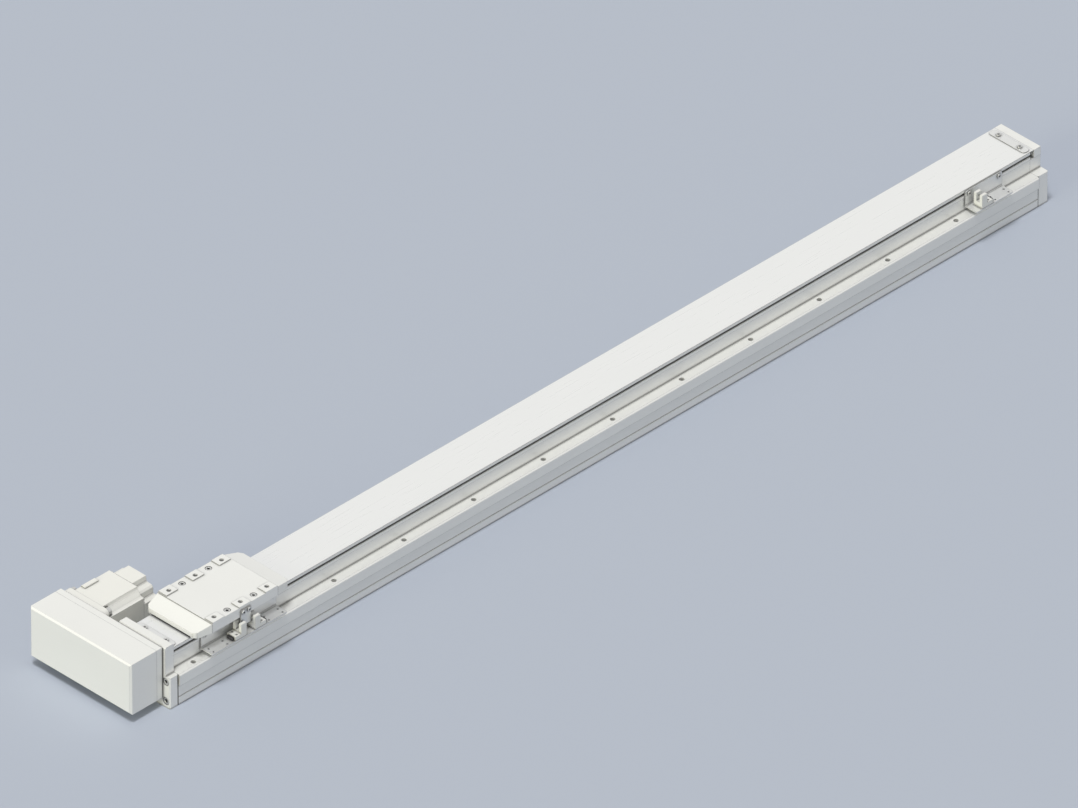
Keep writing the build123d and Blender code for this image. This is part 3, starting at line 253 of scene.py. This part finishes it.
# Finishes: one dictionary each, with colours in linear light. The spread is how far the grain lightens the
# colour, and the scale is in noise cells to the metre
finishes = {
    "clearAnodised": {
        "slot": "clear_anodised", "color": (0.86, 0.86, 0.835), "edge": (0.36, 0.36, 0.36), "metallic": 0.3,
        "rough": (0.34, 0.48), "stretch": (0.015, 1.0, 1.0), "scale": 1600.0, "bump": 0.16, "spread": 0.04,
    },
    "clearAnodisedPlate": {
        "slot": "clear_anodised", "color": (0.86, 0.86, 0.835), "edge": (0.36, 0.36, 0.36), "metallic": 0.3,
        "rough": (0.38, 0.52), "stretch": (1.0, 1.0, 1.0), "scale": 2600.0, "bump": 0.16, "spread": 0.03,
    },
    "machinedSteel": {
        "slot": "machined_steel", "color": (0.55, 0.55, 0.55), "edge": (0.75, 0.75, 0.75), "metallic": 1.0,
        "rough": (0.28, 0.42), "stretch": (1.0, 0.05, 1.0), "scale": 1200.0, "bump": 0.12, "spread": 0.05,
    },
    "groundSteel": {
        "slot": "ground_steel", "color": (0.66, 0.66, 0.66), "edge": (0.8, 0.8, 0.8), "metallic": 1.0,
        "rough": (0.16, 0.26), "stretch": (0.02, 1.0, 1.0), "scale": 2500.0, "bump": 0.06, "spread": 0.04,
    },
    "platedScrew": {
        "slot": "screw_steel", "color": (0.66, 0.66, 0.65), "edge": (0.34, 0.34, 0.34), "metallic": 0.75,
        "rough": (0.26, 0.4), "stretch": (1.0, 1.0, 1.0), "scale": 2200.0, "bump": 0.08, "spread": 0.06,
    },
    "stripSteel": {
        "slot": "strip_steel", "color": (0.87, 0.875, 0.87), "edge": (0.4, 0.4, 0.4), "metallic": 0.5,
        "rough": (0.27, 0.32), "stretch": (0.004, 1.0, 1.0), "scale": 3000.0, "bump": 0.008, "spread": 0.006,
    },
    "zincPlate": {
        "slot": "bracket_steel", "color": (0.80, 0.805, 0.80), "edge": (0.42, 0.42, 0.42), "metallic": 0.55,
        "rough": (0.30, 0.45), "stretch": (1.0, 1.0, 1.0), "scale": 700.0, "bump": 0.06, "spread": 0.05,
    },
    "palePolymer": {
        "slot": "pale_polymer", "color": (0.85, 0.85, 0.82), "edge": (0.4, 0.4, 0.39), "metallic": 0.0,
        "rough": (0.46, 0.58), "stretch": (1.0, 1.0, 1.0), "scale": 1800.0, "bump": 0.2, "spread": 0.02,
    },
    "blackRubber": {
        "slot": "rubber", "color": (0.02, 0.02, 0.02), "edge": (0.05, 0.05, 0.05), "metallic": 0.0,
        "rough": (0.6, 0.75), "stretch": (1.0, 1.0, 1.0), "scale": 1500.0, "bump": 0.15, "spread": 0.1,
    },
    "turnedAluminium": {
        "slot": "pulley_aluminium", "color": (0.72, 0.72, 0.71), "edge": (0.85, 0.85, 0.85), "metallic": 1.0,
        "rough": (0.25, 0.38), "stretch": (0.05, 1.0, 1.0), "scale": 2000.0, "bump": 0.08, "spread": 0.04,
    },
    "motorCasing": {
        "slot": "motor_finish", "color": (0.85, 0.845, 0.80), "edge": (0.36, 0.36, 0.35), "metallic": 0.1,
        "rough": (0.38, 0.52), "stretch": (1.0, 1.0, 1.0), "scale": 900.0, "bump": 0.28, "spread": 0.03,
    },
    "sensorPlastic": {
        "slot": "sensor_plastic", "color": (0.78, 0.78, 0.745), "edge": (0.4, 0.4, 0.39), "metallic": 0.0,
        "rough": (0.36, 0.5), "stretch": (1.0, 1.0, 1.0), "scale": 2600.0, "bump": 0.1, "spread": 0.03,
    },
    "darkPlastic": {
        "slot": "dark_plastic", "color": (0.03, 0.03, 0.033), "edge": (0.08, 0.08, 0.085), "metallic": 0.0,
        "rough": (0.35, 0.5), "stretch": (1.0, 1.0, 1.0), "scale": 2600.0, "bump": 0.08, "spread": 0.08,
    },
}


# What all finishes share: how strongly grain, worn edges and the shade painted into crevices show. The reach
# and both depths are in mm, and the grain darkens the colour by this many spreads
finishLook = {
    "grainShare": 0.5,
    "darkSpreads": 2,
    "streakRange": (0.3, 0.7),
    "grainDepth": 0.2,
    "wear": 0.75,
    "wearReach": 0.8,
    # Painted shade: how far the crevice mask darkens the colour, over what depth, and towards what share of
    # it
    "crevice": 0.8,
    "creviceDepth": 3.0,
    "creviceTone": 0.12,
}


def makeFinish(name, kind):
    look = finishLook
    material = bpy.data.materials.new(name)
    material.use_nodes = True
    tree = material.node_tree
    shader = tree.nodes["Principled BSDF"]
    shader.inputs["Metallic"].default_value = kind["metallic"]
    grain = placeGroup(tree, grainGroup, {"Stretch": kind["stretch"], "Scale": kind["scale"]})
    around = {"Reach": look["wearReach"] * mm, "Depth": look["creviceDepth"] * mm}
    edges = placeGroup(tree, edgeAndShadeGroup, around)
    darker = tuple(c * (1 - look["darkSpreads"] * kind["spread"]) for c in kind["color"])
    lighter = tuple(min(1.0, c * (1 + kind["spread"])) for c in kind["color"])
    uneven = mathNode(tree, "ADD", grain["Blotches"], grain["Streaks"])
    body = mixColor(tree, mathNode(tree, "MULTIPLY", uneven, look["grainShare"]), darker, lighter)
    wear = mathNode(tree, "MULTIPLY", edges["Edge"], look["wear"])
    worn = mixColor(tree, wear, body, kind["edge"])
    # Painted shade: in corners and between parts the colour is darkened towards a dark copy of itself
    shade = mathNode(tree, "MULTIPLY", edges["Crevice"], look["crevice"])
    shaded = mixColor(tree, shade, worn, tuple(c * look["creviceTone"] for c in kind["color"]))
    rough = rangeNode(tree, grain["Streaks"], look["streakRange"], kind["rough"])
    bump = tree.nodes.new("ShaderNodeBump")
    bump.inputs["Strength"].default_value = kind["bump"]
    bump.inputs["Distance"].default_value = look["grainDepth"] * mm
    tree.links.new(grain["Streaks"], bump.inputs["Height"])
    for label, given in (("Base Color", shaded), ("Roughness", rough), ("Normal", bump.outputs[0])):
        tree.links.new(given, shader.inputs[label])
    return material


materials = {name: makeFinish(name, kind) for name, kind in finishes.items()}
print("finishes made")


def dress(piece, finish):
    piece.data.materials.clear()
    piece.data.materials.append(materials[finish])
    return piece


smoothBelow = 32.0  # degrees between faces that shade as one surface


def smoothByAngle(piece):
    piece.data.shade_smooth()
    cut = math.radians(smoothBelow)
    made = bmesh.new()
    made.from_mesh(piece.data)
    for edge in made.edges:
        edge.smooth = not (edge.is_manifold and edge.calc_face_angle() > cut)
    made.to_mesh(piece.data)
    made.free()


def newPiece(name, points, faces, finish, smooth=True):
    mesh = bpy.data.meshes.new(name)
    sides = [tuple(int(i) for i in face) for face in faces]
    mesh.from_pydata(np.asarray(points, float).tolist(), [], sides)
    made = bmesh.new()
    made.from_mesh(mesh)
    bmesh.ops.remove_doubles(made, verts=made.verts, dist=weld)
    made.to_mesh(mesh)
    made.free()
    piece = newObject(name, mesh)
    if smooth:
        smoothByAngle(piece)
    return dress(piece, finish)


# Points of a node's mesh, merged where they meet, and the two ends of each of its edges
def mergedMesh(node):
    mesh = nodes[node].data
    points = np.empty(len(mesh.vertices) * 3)
    mesh.vertices.foreach_get("co", points)
    ends = np.empty(len(mesh.edges) * 2, np.int64)
    mesh.edges.foreach_get("vertices", ends)
    merged, place = np.unique(np.round(points.reshape(-1, 3), weldDigits), axis=0, return_inverse=True)
    return merged, place.reshape(-1)[ends].reshape(-1, 2)


def mergedPoints(node):
    return mergedMesh(node)[0]


# The merged points sorted into loose pieces: each point takes the lowest number that its edges lead to
def loosePieces(node):
    points, ends = mergedMesh(node)
    label = np.arange(len(points))
    while True:
        before = label.copy()
        lower = np.minimum(label[ends[:, 0]], label[ends[:, 1]])
        np.minimum.at(label, ends[:, 0], lower)
        np.minimum.at(label, ends[:, 1], lower)
        if np.array_equal(before, label):
            break
    return [points[label == kind] for kind in np.unique(label)]


# Quads between neighbouring rows of a grid; a closed grid also joins its last column to its first
def gridFaces(rows, columns, closed=False):
    i, j = np.meshgrid(np.arange(rows - 1), np.arange(columns if closed else columns - 1), indexing="ij")
    k = (j + 1) % columns
    corners = [i * columns + j, (i + 1) * columns + j, (i + 1) * columns + k, i * columns + k]
    return np.stack(corners, -1).reshape(-1, 4)


# A surface wound round an axis: at angle t and offset u its height is lead * t / 2 pi + u, held within
# the length, and its radius is the one given for u. It starts half a turn early, so that both ends are
# full. Points come as height, first and second side
def woundSurface(offsets, radii, lead, length, perTurn):
    rows = int(math.ceil((length / lead + 1) * perTurn)) + 1
    turn = (np.arange(rows) / perTurn - 0.5) * 2 * math.pi
    height = np.clip(lead * turn[:, None] / (2 * math.pi) + np.asarray(offsets)[None, :], 0, length)
    sides = np.asarray(radii)[None, :, None] * np.stack([np.cos(turn), np.sin(turn)], -1)[:, None, :]
    faces = gridFaces(rows, len(offsets))
    ends = height.reshape(-1)[faces]
    inside = ~(np.all(ends <= 0, axis=1) | np.all(ends >= length, axis=1))
    return np.concatenate([height[:, :, None], sides], -1).reshape(-1, 3), faces[inside]


# Blocks, each with six flat faces between two opposite corners
def blocks(corners):
    sides = np.array([
        (0, 1, 3, 2), (4, 6, 7, 5), (0, 4, 5, 1), (2, 3, 7, 6), (0, 2, 6, 4), (1, 5, 7, 3),
    ])
    points, faces = [], []
    for low, high in corners:
        spans = list(zip(low, high))
        faces.append(sides + 8 * len(points))
        points.append(np.array([[x, y, z] for x in spans[0] for y in spans[1] for z in spans[2]]))
    return np.concatenate(points), np.concatenate(faces)


# Casings, plates and brackets keep their machined form and get broken edges, whose width in mm comes last
casings = {
    "base_beam": ("beamProfile", "base", "clearAnodised", 0.4),
    "near_end_plate": ("nearEndPlate", "base", "clearAnodisedPlate", 0.7),
    "far_end_plate": ("farEndPlate", "base", "clearAnodisedPlate", 0.7),
    "drive_plate": ("drivePlate", "base", "clearAnodisedPlate", 0.6),
    "belt_cover": ("beltCover", "base", "clearAnodisedPlate", 0.6),
    "fixed_bearing_housing": ("fixedBearingHousing", "base", "machinedSteel", 0.3),
    "far_bearing_housing": ("farBearingHousing", "base", "machinedSteel", 0.3),
    "motor_flange": ("motorFlange", "base", "motorCasing", 0.5),
    "motor_housing": ("motorHousing", "base", "motorCasing", 0.5),
    "motor_rear_cover": ("motorRearCover", "base", "motorCasing", 0.5),
    "sensor_bracket_near": ("sensorBracketNear", "base", "zincPlate", 0.12),
    "sensor_bracket_far": ("sensorBracketFar", "base", "zincPlate", 0.12),
    "strip_clamps": ("stripClamps", "base", "zincPlate", 0.2),
    "sensor_near_limit": ("sensorNearLimit", "base", "sensorPlastic", 0.25),
    "sensor_home": ("sensorHome", "base", "sensorPlastic", 0.25),
    "sensor_far_limit": ("sensorFarLimit", "base", "sensorPlastic", 0.25),
    "sensor_sockets": ("sensorSockets", "base", "darkPlastic", 0.15),
    "saddle_plate": ("saddlePlate", "carriage", "machinedSteel", 0.3),
    "drive_side_wedge_cap": ("wedgeCapDriveSide", "carriage", "palePolymer", 0.4),
    "far_side_wedge_cap": ("wedgeCapFarSide", "carriage", "palePolymer", 0.4),
    "trip_dog": ("tripDog", "carriage", "zincPlate", 0.12),
}


# Angles are in degrees: faces that lie this flat to each other are merged, edges this sharp are broken
edgeBreak = {
    "flatWithin": 1.0,
    "sharpFrom": 40.0,
    "segments": 2,
    "faceWeight": 100,
    "faceThreshold": 1e-9,
}


# Normals follow the large faces, so that a face beside a broken edge stays flat to the eye
def brokenEdges(node, name, body, finish, width):
    kind = edgeBreak
    source = nodes[node]
    made = bmesh.new()
    made.from_mesh(source.data)
    bmesh.ops.remove_doubles(made, verts=made.verts, dist=weld)
    flat = math.radians(kind["flatWithin"])
    bmesh.ops.dissolve_limit(made, angle_limit=flat, verts=made.verts, edges=made.edges)
    mesh = bpy.data.meshes.new(name)
    made.to_mesh(mesh)
    made.free()
    piece = newObject(name, mesh)
    bevel = piece.modifiers.new("brokenEdge", "BEVEL")
    bevel.width = width * mm
    bevel.segments = kind["segments"]
    bevel.limit_method = "ANGLE"
    bevel.angle_limit = math.radians(kind["sharpFrom"])
    bevel.use_clamp_overlap = True
    mesh.shade_smooth()
    normals = piece.modifiers.new("flatFaces", "WEIGHTED_NORMAL")
    normals.mode = "FACE_AREA"
    normals.weight = kind["faceWeight"]
    normals.thresh = kind["faceThreshold"]
    dress(piece, finish)
    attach(piece, body)
    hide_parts(node)
    return piece


for node, (name, body, finish, width) in casings.items():
    brokenEdges(node, name, body, finish, width)
print("casings dressed")

# Pieces whose own shape is right, most of them inside, only get a finish
innerPieces = {
    "machinedSteel": ["slide_block", "bearing_lock_nut", "slot_nuts"],
    "groundSteel": [
        "guide_rail_motor_side", "guide_rail_sensor_side", "ball_nut", "fixed_bearing_outer_rings",
        "fixed_bearing_inner_rings", "far_bearing_outer_ring", "far_bearing_inner_ring", "motor_shaft",
    ],
    "palePolymer": ["strip_guides", "ball_return_caps"],
    "blackRubber": ["travel_bumpers", "timing_belt"],
    "turnedAluminium": ["screw_pulley", "motor_pulley"],
    "motorCasing": ["motor_rotor", "motor_socket"],
    "stripSteel": ["cover_strip_lifted"],
}
for finish, names in innerPieces.items():
    for node in names:
        dress(nodes[node], finish)
print("inner pieces dressed")

# Socket head screws. Sizes are shares of the head's radius or height, and the tip's of the shank's radius
socketScrew = {
    "points": 36,
    "key": 0.43,
    "keyDepth": 0.55,
    "mouth": 0.06,
    "edge": 0.12,
    "edgeRound": 0.3,
    "tip": 0.35,
    "headFrom": 0.9,
    "finish": "platedScrew",
}


# Axis, seat and sizes of one plain screw: across its axis its two spans are equal, and its widest points
# are the head's
def measureScrew(points):
    low, high = points.min(0), points.max(0)
    span = high - low
    axis = int(np.argmin([abs(span[(k + 1) % 3] - span[(k + 2) % 3]) for k in range(3)]))
    sides = [(axis + 1) % 3, (axis + 2) % 3]
    centre = (low + high) / 2
    reach = np.linalg.norm(points[:, sides] - centre[sides], axis=1)
    wide = socketScrew["headFrom"] * reach.max()
    head = points[reach > wide, axis]
    facing = 1 if head.max() > high[axis] - weld else -1
    seat = centre.copy()
    seat[axis] = head.min() if facing > 0 else head.max()
    length = seat[axis] - low[axis] if facing > 0 else high[axis] - seat[axis]
    shank = reach[reach < wide].max()
    return axis, facing, seat, reach.max(), head.max() - head.min(), shank, length


# Rings run from the floor of the hexagon out over the head and down the shank, each at its height over the
# seat. The radius at angle t is a circle's, or for the hexagon its flat's distance over the cosine of the
# angle from that flat's middle
def screwSurface(axis, facing, seat, headRadius, headHeight, shankRadius, length):
    kind = socketScrew
    turn = np.arange(kind["points"]) * 2 * math.pi / kind["points"]
    sixth = math.pi / 3
    hexagon = 1 / np.cos((turn + sixth / 2) % sixth - sixth / 2)
    key, edge = kind["key"] * headRadius, kind["edge"] * headHeight
    mouth = kind["mouth"] * headRadius
    corner = key / math.cos(sixth / 2)
    top, tip = headHeight, kind["tip"] * shankRadius
    rings = [
        (top * (1 - kind["keyDepth"]), key, True),
        (top - mouth, key, True),
        (top, corner + mouth, False),
        (top, headRadius - edge, False),
        (top - edge * kind["edgeRound"], headRadius - edge * kind["edgeRound"], False),
        (top - edge, headRadius, False),
        (0.0, headRadius, False),
        (0.0, shankRadius, False),
        (tip - length, shankRadius, False),
        (-length, shankRadius - tip, False),
    ]
    height = np.array([ring[0] for ring in rings])[:, None] * np.ones_like(turn)
    radius = np.array([ring[1] * (hexagon if ring[2] else np.ones_like(turn)) for ring in rings])
    points = np.zeros((len(rings), len(turn), 3))
    points[:, :, axis] = seat[axis] + facing * height
    points[:, :, (axis + 1) % 3] = seat[(axis + 1) % 3] + radius * np.cos(turn)
    points[:, :, (axis + 2) % 3] = seat[(axis + 2) % 3] + facing * radius * np.sin(turn)
    faces = [tuple(face) for face in gridFaces(len(rings), len(turn), closed=True)]
    last = (len(rings) - 1) * len(turn)
    faces.append(tuple(range(len(turn))))
    faces.append(tuple(range(last + len(turn) - 1, last - 1, -1)))
    return points.reshape(-1, 3), faces


def makeScrews(node):
    points, faces, count = [], [], 0
    for plain in loosePieces(node):
        more, sides = screwSurface(*measureScrew(plain))
        faces += [tuple(i + count for i in face) for face in sides]
        points.append(more)
        count += len(more)
    first, *rest = node.split("_")
    name = first + "".join(word.capitalize() for word in rest)
    piece = newPiece(name, np.concatenate(points), faces, socketScrew["finish"])
    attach(piece, body_of(nodes[node])[0])
    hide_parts(node)


for node in [node for node in nodes if node.endswith("_screws")]:
    makeScrews(node)
print("screws made")

# Ball screw: a right-hand ball groove wound along the shaft, and the turned ends that the CAD model has
ballScrew = {
    "lead": 20.0,
    "ballRadius": 1.65,
    "grooveDepth": 1.0,
    "groovePoints": 9,
    "perTurn": 40,
    "endPoints": 48,
    "shaftFrom": 0.99,
}


# The groove is an arc of the ball: at distance u from its middle the shaft is thinner by the root of the
# ball's radius squared less u squared, less the height of the ball's centre over the shaft. The ends are
# rings: at angle t their radius times cos t and sin t
def makeBallScrew():
    kind = ballScrew
    points = mergedPoints("ball_screw")
    centre = (points.min(0) + points.max(0)) / 2
    reach = np.linalg.norm(points[:, 1:] - centre[1:], axis=1)
    shaft = reach.max()
    thick = points[reach > kind["shaftFrom"] * shaft, 0]
    start, stop = thick.min(), thick.max()
    lead, ball, depth = kind["lead"] * mm, kind["ballRadius"] * mm, kind["grooveDepth"] * mm
    slope = math.cos(math.atan(lead / (2 * math.pi * shaft)))
    half = math.sqrt(ball**2 - (ball - depth) ** 2)
    groove = np.linspace(-half, half, kind["groovePoints"])
    offsets = np.concatenate([[-lead / 2], groove / slope, [lead / 2]])
    dip = np.sqrt(ball**2 - groove**2) - (ball - depth)
    radii = np.concatenate([[shaft], shaft - dip, [shaft]])
    wound, faces = woundSurface(offsets, radii, lead, stop - start, kind["perTurn"])
    wound += [start, *centre[1:]]
    steps = np.unique(np.round(np.column_stack([points[:, 0], reach]), weldDigits), axis=0)
    near, far = steps[steps[:, 0] <= start + weld], steps[steps[:, 0] >= stop - weld]
    far = far[np.lexsort((-far[:, 1], far[:, 0]))]
    turn = np.arange(kind["endPoints"]) * 2 * math.pi / kind["endPoints"]
    circle = np.stack([np.cos(turn), np.sin(turn)], -1)
    allPoints, allFaces, count = [wound], [tuple(face) for face in faces], len(wound)
    for profile in (near, far):
        rings = np.empty((len(profile), len(turn), 3))
        rings[:, :, 0] = profile[:, :1]
        rings[:, :, 1:] = centre[1:] + profile[:, 1:, None] * circle
        sides = gridFaces(len(profile), len(turn), closed=True)[:, ::-1] + count
        allFaces += [tuple(face) for face in sides]
        cap = np.arange(len(turn)) + count
        last = (len(profile) - 1) * len(turn)
        allFaces.append(tuple(cap[::-1]) if profile is near else tuple(cap + last))
        allPoints.append(rings.reshape(-1, 3))
        count += rings.size // 3
    piece = newPiece("ballScrew", np.concatenate(allPoints), allFaces, "groundSteel")
    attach(piece, "screw")
    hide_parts("ball_screw")


makeBallScrew()
print("ball screw made")

# Table: its six threaded holes have chamfered mouths and threads wound between the pads and the saddle
tableThread = {
    "holeRadius": 2.5,
    "ridge": 0.3,
    "crestShare": 0.125,
    "pitch": 1.0,
    "perTurn": 24,
    "mouth": 0.7,
    "foot": 0.4,
    "rowSpacing": 37.5,
    "fromSide": 7.0,
    "chamfer": 0.65,
    "otherEdges": 0.6,
    "mouthReach": 1.2,
    "topWithin": 0.01,
}


def tableHoles(low, high):
    kind = tableThread
    middle, margin = (low[0] + high[0]) / 2, kind["fromSide"] * mm
    rows = [middle + k * kind["rowSpacing"] * mm for k in (-1, 0, 1)]
    return [(x, y) for x in rows for y in (low[1] + margin, high[1] - margin)]


# The mouths get the whole chamfer, and the other sharp edges a share of it
def makeTable():
    kind = tableThread
    piece = brokenEdges("table_plate", "tablePlate", "carriage", "clearAnodisedPlate", kind["chamfer"])
    points = mergedPoints("table_plate")
    low, high = points.min(0), points.max(0)
    holes = tableHoles(low, high)
    made = bmesh.new()
    made.from_mesh(piece.data)
    weight = made.edges.layers.float.new("bevel_weight_edge")
    for edge in made.edges:
        if not edge.is_manifold or edge.calc_face_angle() < math.radians(edgeBreak["sharpFrom"]):
            continue
        middle = (edge.verts[0].co + edge.verts[1].co) / 2
        reach = min(math.hypot(middle.x - x, middle.y - y) for x, y in holes)
        inside = reach < kind["mouthReach"] * kind["holeRadius"] * mm
        mouth = inside and middle.z > high[2] - kind["topWithin"] * mm
        edge[weight] = 1.0 if mouth else kind["otherEdges"]
    made.to_mesh(piece.data)
    made.free()
    piece.modifiers["brokenEdge"].limit_method = "WEIGHT"


# Over one pitch the thread's radius runs straight from the hole's down to the flat crest and back
def makeTableThreads():
    kind = tableThread
    points = mergedPoints("table_plate")
    low, high = points.min(0), points.max(0)
    pitch, root = kind["pitch"] * mm, kind["holeRadius"] * mm
    length = high[2] - low[2] - (kind["mouth"] + kind["foot"]) * mm
    crest, flat = root - kind["ridge"] * mm, kind["crestShare"] * pitch / 2
    offsets = [-pitch / 2, -flat, flat, pitch / 2]
    wound, faces = woundSurface(offsets, [root, crest, crest, root], pitch, length, kind["perTurn"])
    wound = wound[:, [1, 2, 0]] + [0, 0, low[2] + kind["foot"] * mm]
    allPoints, allFaces = [], []
    for x, y in tableHoles(low, high):
        allFaces.append(faces[:, ::-1] + len(wound) * len(allPoints))
        allPoints.append(wound + [x, y, 0])
    threads = (np.concatenate(allPoints), np.concatenate(allFaces))
    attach(newPiece("tableThreads", *threads, "clearAnodisedPlate"), "carriage")


makeTable()
makeTableThreads()
print("table made")


# Cover strip: each flat length reaches from its clamp to the carriage and follows it, with points at its
# two ends only
def makeCoverStrip(node, name, bodies):
    points = mergedPoints(node)
    low, high = points.min(0), points.max(0)
    piece = newPiece(name, *blocks([(low, high)]), "stripSteel", smooth=False)
    middle = (low + high) / 2
    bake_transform(piece, *bodies, (low[0], middle[1], middle[2]), (high[0], middle[1], middle[2]))
    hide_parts(node)


makeCoverStrip("cover_strip_near", "coverStripNear", ("base", "carriage"))
makeCoverStrip("cover_strip_far", "coverStripFar", ("carriage", "base"))
print("cover strips made")


# A dictionary's floats are lengths in mm, and come out in metres
def inMetres(kind):
    return {key: value * mm if isinstance(value, float) else value for key, value in kind.items()}


# Windows in the forks of the sensors, and the contacts in their sockets. A fork is at its sensor's +X end
# (1) or at the other (-1)
sensorDetails = {
    "forkEnds": {"sensor_near_limit": 1, "sensor_home": -1, "sensor_far_limit": -1},
    "forkLength": 7.5,
    "slotHalf": 2.3,
    "windowHalf": 0.6,
    "windowHeight": 2.4,
    "windowDrop": 3.2,
    "proud": 0.04,
    "contacts": 4,
    "contactPitch": 1.9,
    "contactHalf": 0.25,
}


# Each window and each contact is a thin block that stands proud of its wall
def makeSensorDetails():
    kind = inMetres(sensorDetails)
    windows, contacts = [], []
    for node, end in kind["forkEnds"].items():
        points = mergedPoints(node)
        low, high = points.min(0), points.max(0)
        middle = high[0] - kind["forkLength"] / 2 if end > 0 else low[0] + kind["forkLength"] / 2
        slot, top = (low[1] + high[1]) / 2, high[2] - kind["windowDrop"]
        for side in (1, -1):
            wall = slot + side * kind["slotHalf"]
            across = sorted((wall - side * kind["proud"], wall + side * kind["proud"]))
            windows.append((
                (middle - kind["windowHalf"], across[0], top - kind["windowHeight"]),
                (middle + kind["windowHalf"], across[1], top),
            ))
    for points in loosePieces("sensor_sockets"):
        low, high = points.min(0), points.max(0)
        nearest = min(kind["forkEnds"], key=lambda node: abs(mergedPoints(node)[:, 0].mean() - low[0]))
        face = low[0] if kind["forkEnds"][nearest] > 0 else high[0]
        for i in range(kind["contacts"]):
            y = (low[1] + high[1]) / 2 + (i - (kind["contacts"] - 1) / 2) * kind["contactPitch"]
            z = (low[2] + high[2]) / 2
            half, proud = kind["contactHalf"], kind["proud"]
            contacts.append(((face - proud, y - half, z - half), (face + proud, y + half, z + half)))
    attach(newPiece("sensorWindows", *blocks(windows), "darkPlastic", smooth=False), "base")
    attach(newPiece("sensorContacts", *blocks(contacts), "groundSteel", smooth=False), "base")


makeSensorDetails()
print("sensor details made")

# Pressed inserts in the feet of the sensors, two to a foot: a turned ring round a bore, closed just under
# its rim by a dark disc that is painted shade
sensorInserts = {
    "outerRadius": 1.3,
    "boreRadius": 0.75,
    "proud": 0.15,
    "edge": 0.06,
    "boreLevel": 0.03,
    "pitch": 6.4,
    "points": 32,
}


# A ring's points at angle t are the profile's radius times cos t and sin t, at its height above the foot
def makeInserts():
    kind = inMetres(sensorInserts)
    outer, bore, top, edge = kind["outerRadius"], kind["boreRadius"], kind["proud"], kind["edge"]
    radius, height = np.array([
        (outer, 0), (outer, top - edge), (outer - edge, top),
        (bore + edge, top), (bore, top - edge), (bore, kind["boreLevel"]),
    ]).T
    turn = np.arange(kind["points"]) * 2 * math.pi / kind["points"]
    sides = radius[:, None, None] * np.stack([np.cos(turn), np.sin(turn)], -1)
    levels = np.broadcast_to(height[:, None, None], (len(radius), len(turn), 1))
    ring = np.concatenate([sides, levels], -1).reshape(-1, 3)
    faces = gridFaces(len(radius), len(turn), closed=True)[:, ::-1]
    fork = sensorDetails["forkLength"] * mm
    feet = []
    for node, end in sensorDetails["forkEnds"].items():
        points = mergedPoints(node)
        low, high = points.min(0), points.max(0)
        tip, shoulder = (low[0], high[0] - fork) if end > 0 else (high[0], low[0] + fork)
        level = points[abs(points[:, 0] - tip) < edge, 2].max()
        middle = (low[1] + high[1]) / 2
        feet += [((tip + shoulder) / 2, middle + side * kind["pitch"] / 2, level) for side in (-1, 1)]
    feet = np.array(feet)[:, None]
    # The dark discs are painted shade: they close each bore just under its rim, where the hole's shade would
    # be
    rings, boreShades = (ring + feet).reshape(-1, 3), (ring[-len(turn):] + feet).reshape(-1, 3)
    ringFaces = (faces + len(ring) * np.arange(len(feet))[:, None, None]).reshape(-1, 4)
    boreShadeFaces = np.arange(len(boreShades)).reshape(len(feet), -1)
    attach(newPiece("sensorInserts", rings, ringFaces, "platedScrew"), "base")
    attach(newPiece("sensorInsertBores", boreShades, boreShadeFaces, "darkPlastic", smooth=False), "base")


makeInserts()
print("sensor inserts made")

# Floor, lamps and sky. A lamp's From is where its light comes from, and its Spread is in degrees
studio = {
    "floorHalf": 30.0,
    "floorDrop": 0.1,
    "floorColor": (0.46, 0.50, 0.58),
    "floorRough": 0.9,
    "floorSpecular": 0.1,
    "skyColor": (0.86, 0.86, 0.85),
    "skyLight": 0.50,
    "skySeen": 1.0,
    "keyEnergy": 1.7,
    "keyColor": (1.0, 1.0, 1.0),
    "keyFrom": (-0.25, -0.1, 1.0),
    "keySpread": 14.0,
    "sideEnergy": 1.4,
    "sideColor": (1.0, 0.975, 0.72),
    "sideFrom": (-1.0, -0.02, 0.15),
    "sideSpread": 25.0,
}


def makeFloor():
    half, level = studio["floorHalf"], -studio["floorDrop"] * mm
    mesh = bpy.data.meshes.new("floor")
    corners = [(-half, -half, level), (half, -half, level), (half, half, level), (-half, half, level)]
    mesh.from_pydata(corners, [], [(0, 1, 2, 3)])
    floor = newObject("floor", mesh)
    material = bpy.data.materials.new("paleFloor")
    material.use_nodes = True
    shader = material.node_tree.nodes["Principled BSDF"]
    shader.inputs["Base Color"].default_value = (*studio["floorColor"], 1.0)
    shader.inputs["Roughness"].default_value = studio["floorRough"]
    shader.inputs["Specular IOR Level"].default_value = studio["floorSpecular"]
    mesh.materials.append(material)


def makeSun(name):
    data = bpy.data.lights.new(name + "Lamp", "SUN")
    data.energy = studio[name + "Energy"]
    data.color = studio[name + "Color"]
    data.angle = math.radians(studio[name + "Spread"])
    lamp = newObject(name + "Lamp", data)
    lamp.rotation_euler = Vector(studio[name + "From"]).to_track_quat("Z", "Y").to_euler()


# The sky gives less light than the camera and mirrors see in it
def makeSky():
    world = bpy.data.worlds.new("sky")
    world.use_nodes = True
    bpy.context.scene.world = world
    tree = world.node_tree
    back = tree.nodes["Background"]
    path = tree.nodes.new("ShaderNodeLightPath")
    seen = mathNode(tree, "MAXIMUM", path.outputs["Is Camera Ray"], path.outputs["Is Glossy Ray"])
    seen = mathNode(tree, "MAXIMUM", seen, path.outputs["Is Transmission Ray"])
    back.inputs["Color"].default_value = (*studio["skyColor"], 1.0)
    strength = rangeNode(tree, seen, (0.0, 1.0), (studio["skyLight"], studio["skySeen"]))
    tree.links.new(strength, back.inputs["Strength"])


makeFloor()
makeSun("key")
makeSun("side")
makeSky()
bpy.context.scene.view_settings.view_transform = "Standard"
print("studio made")
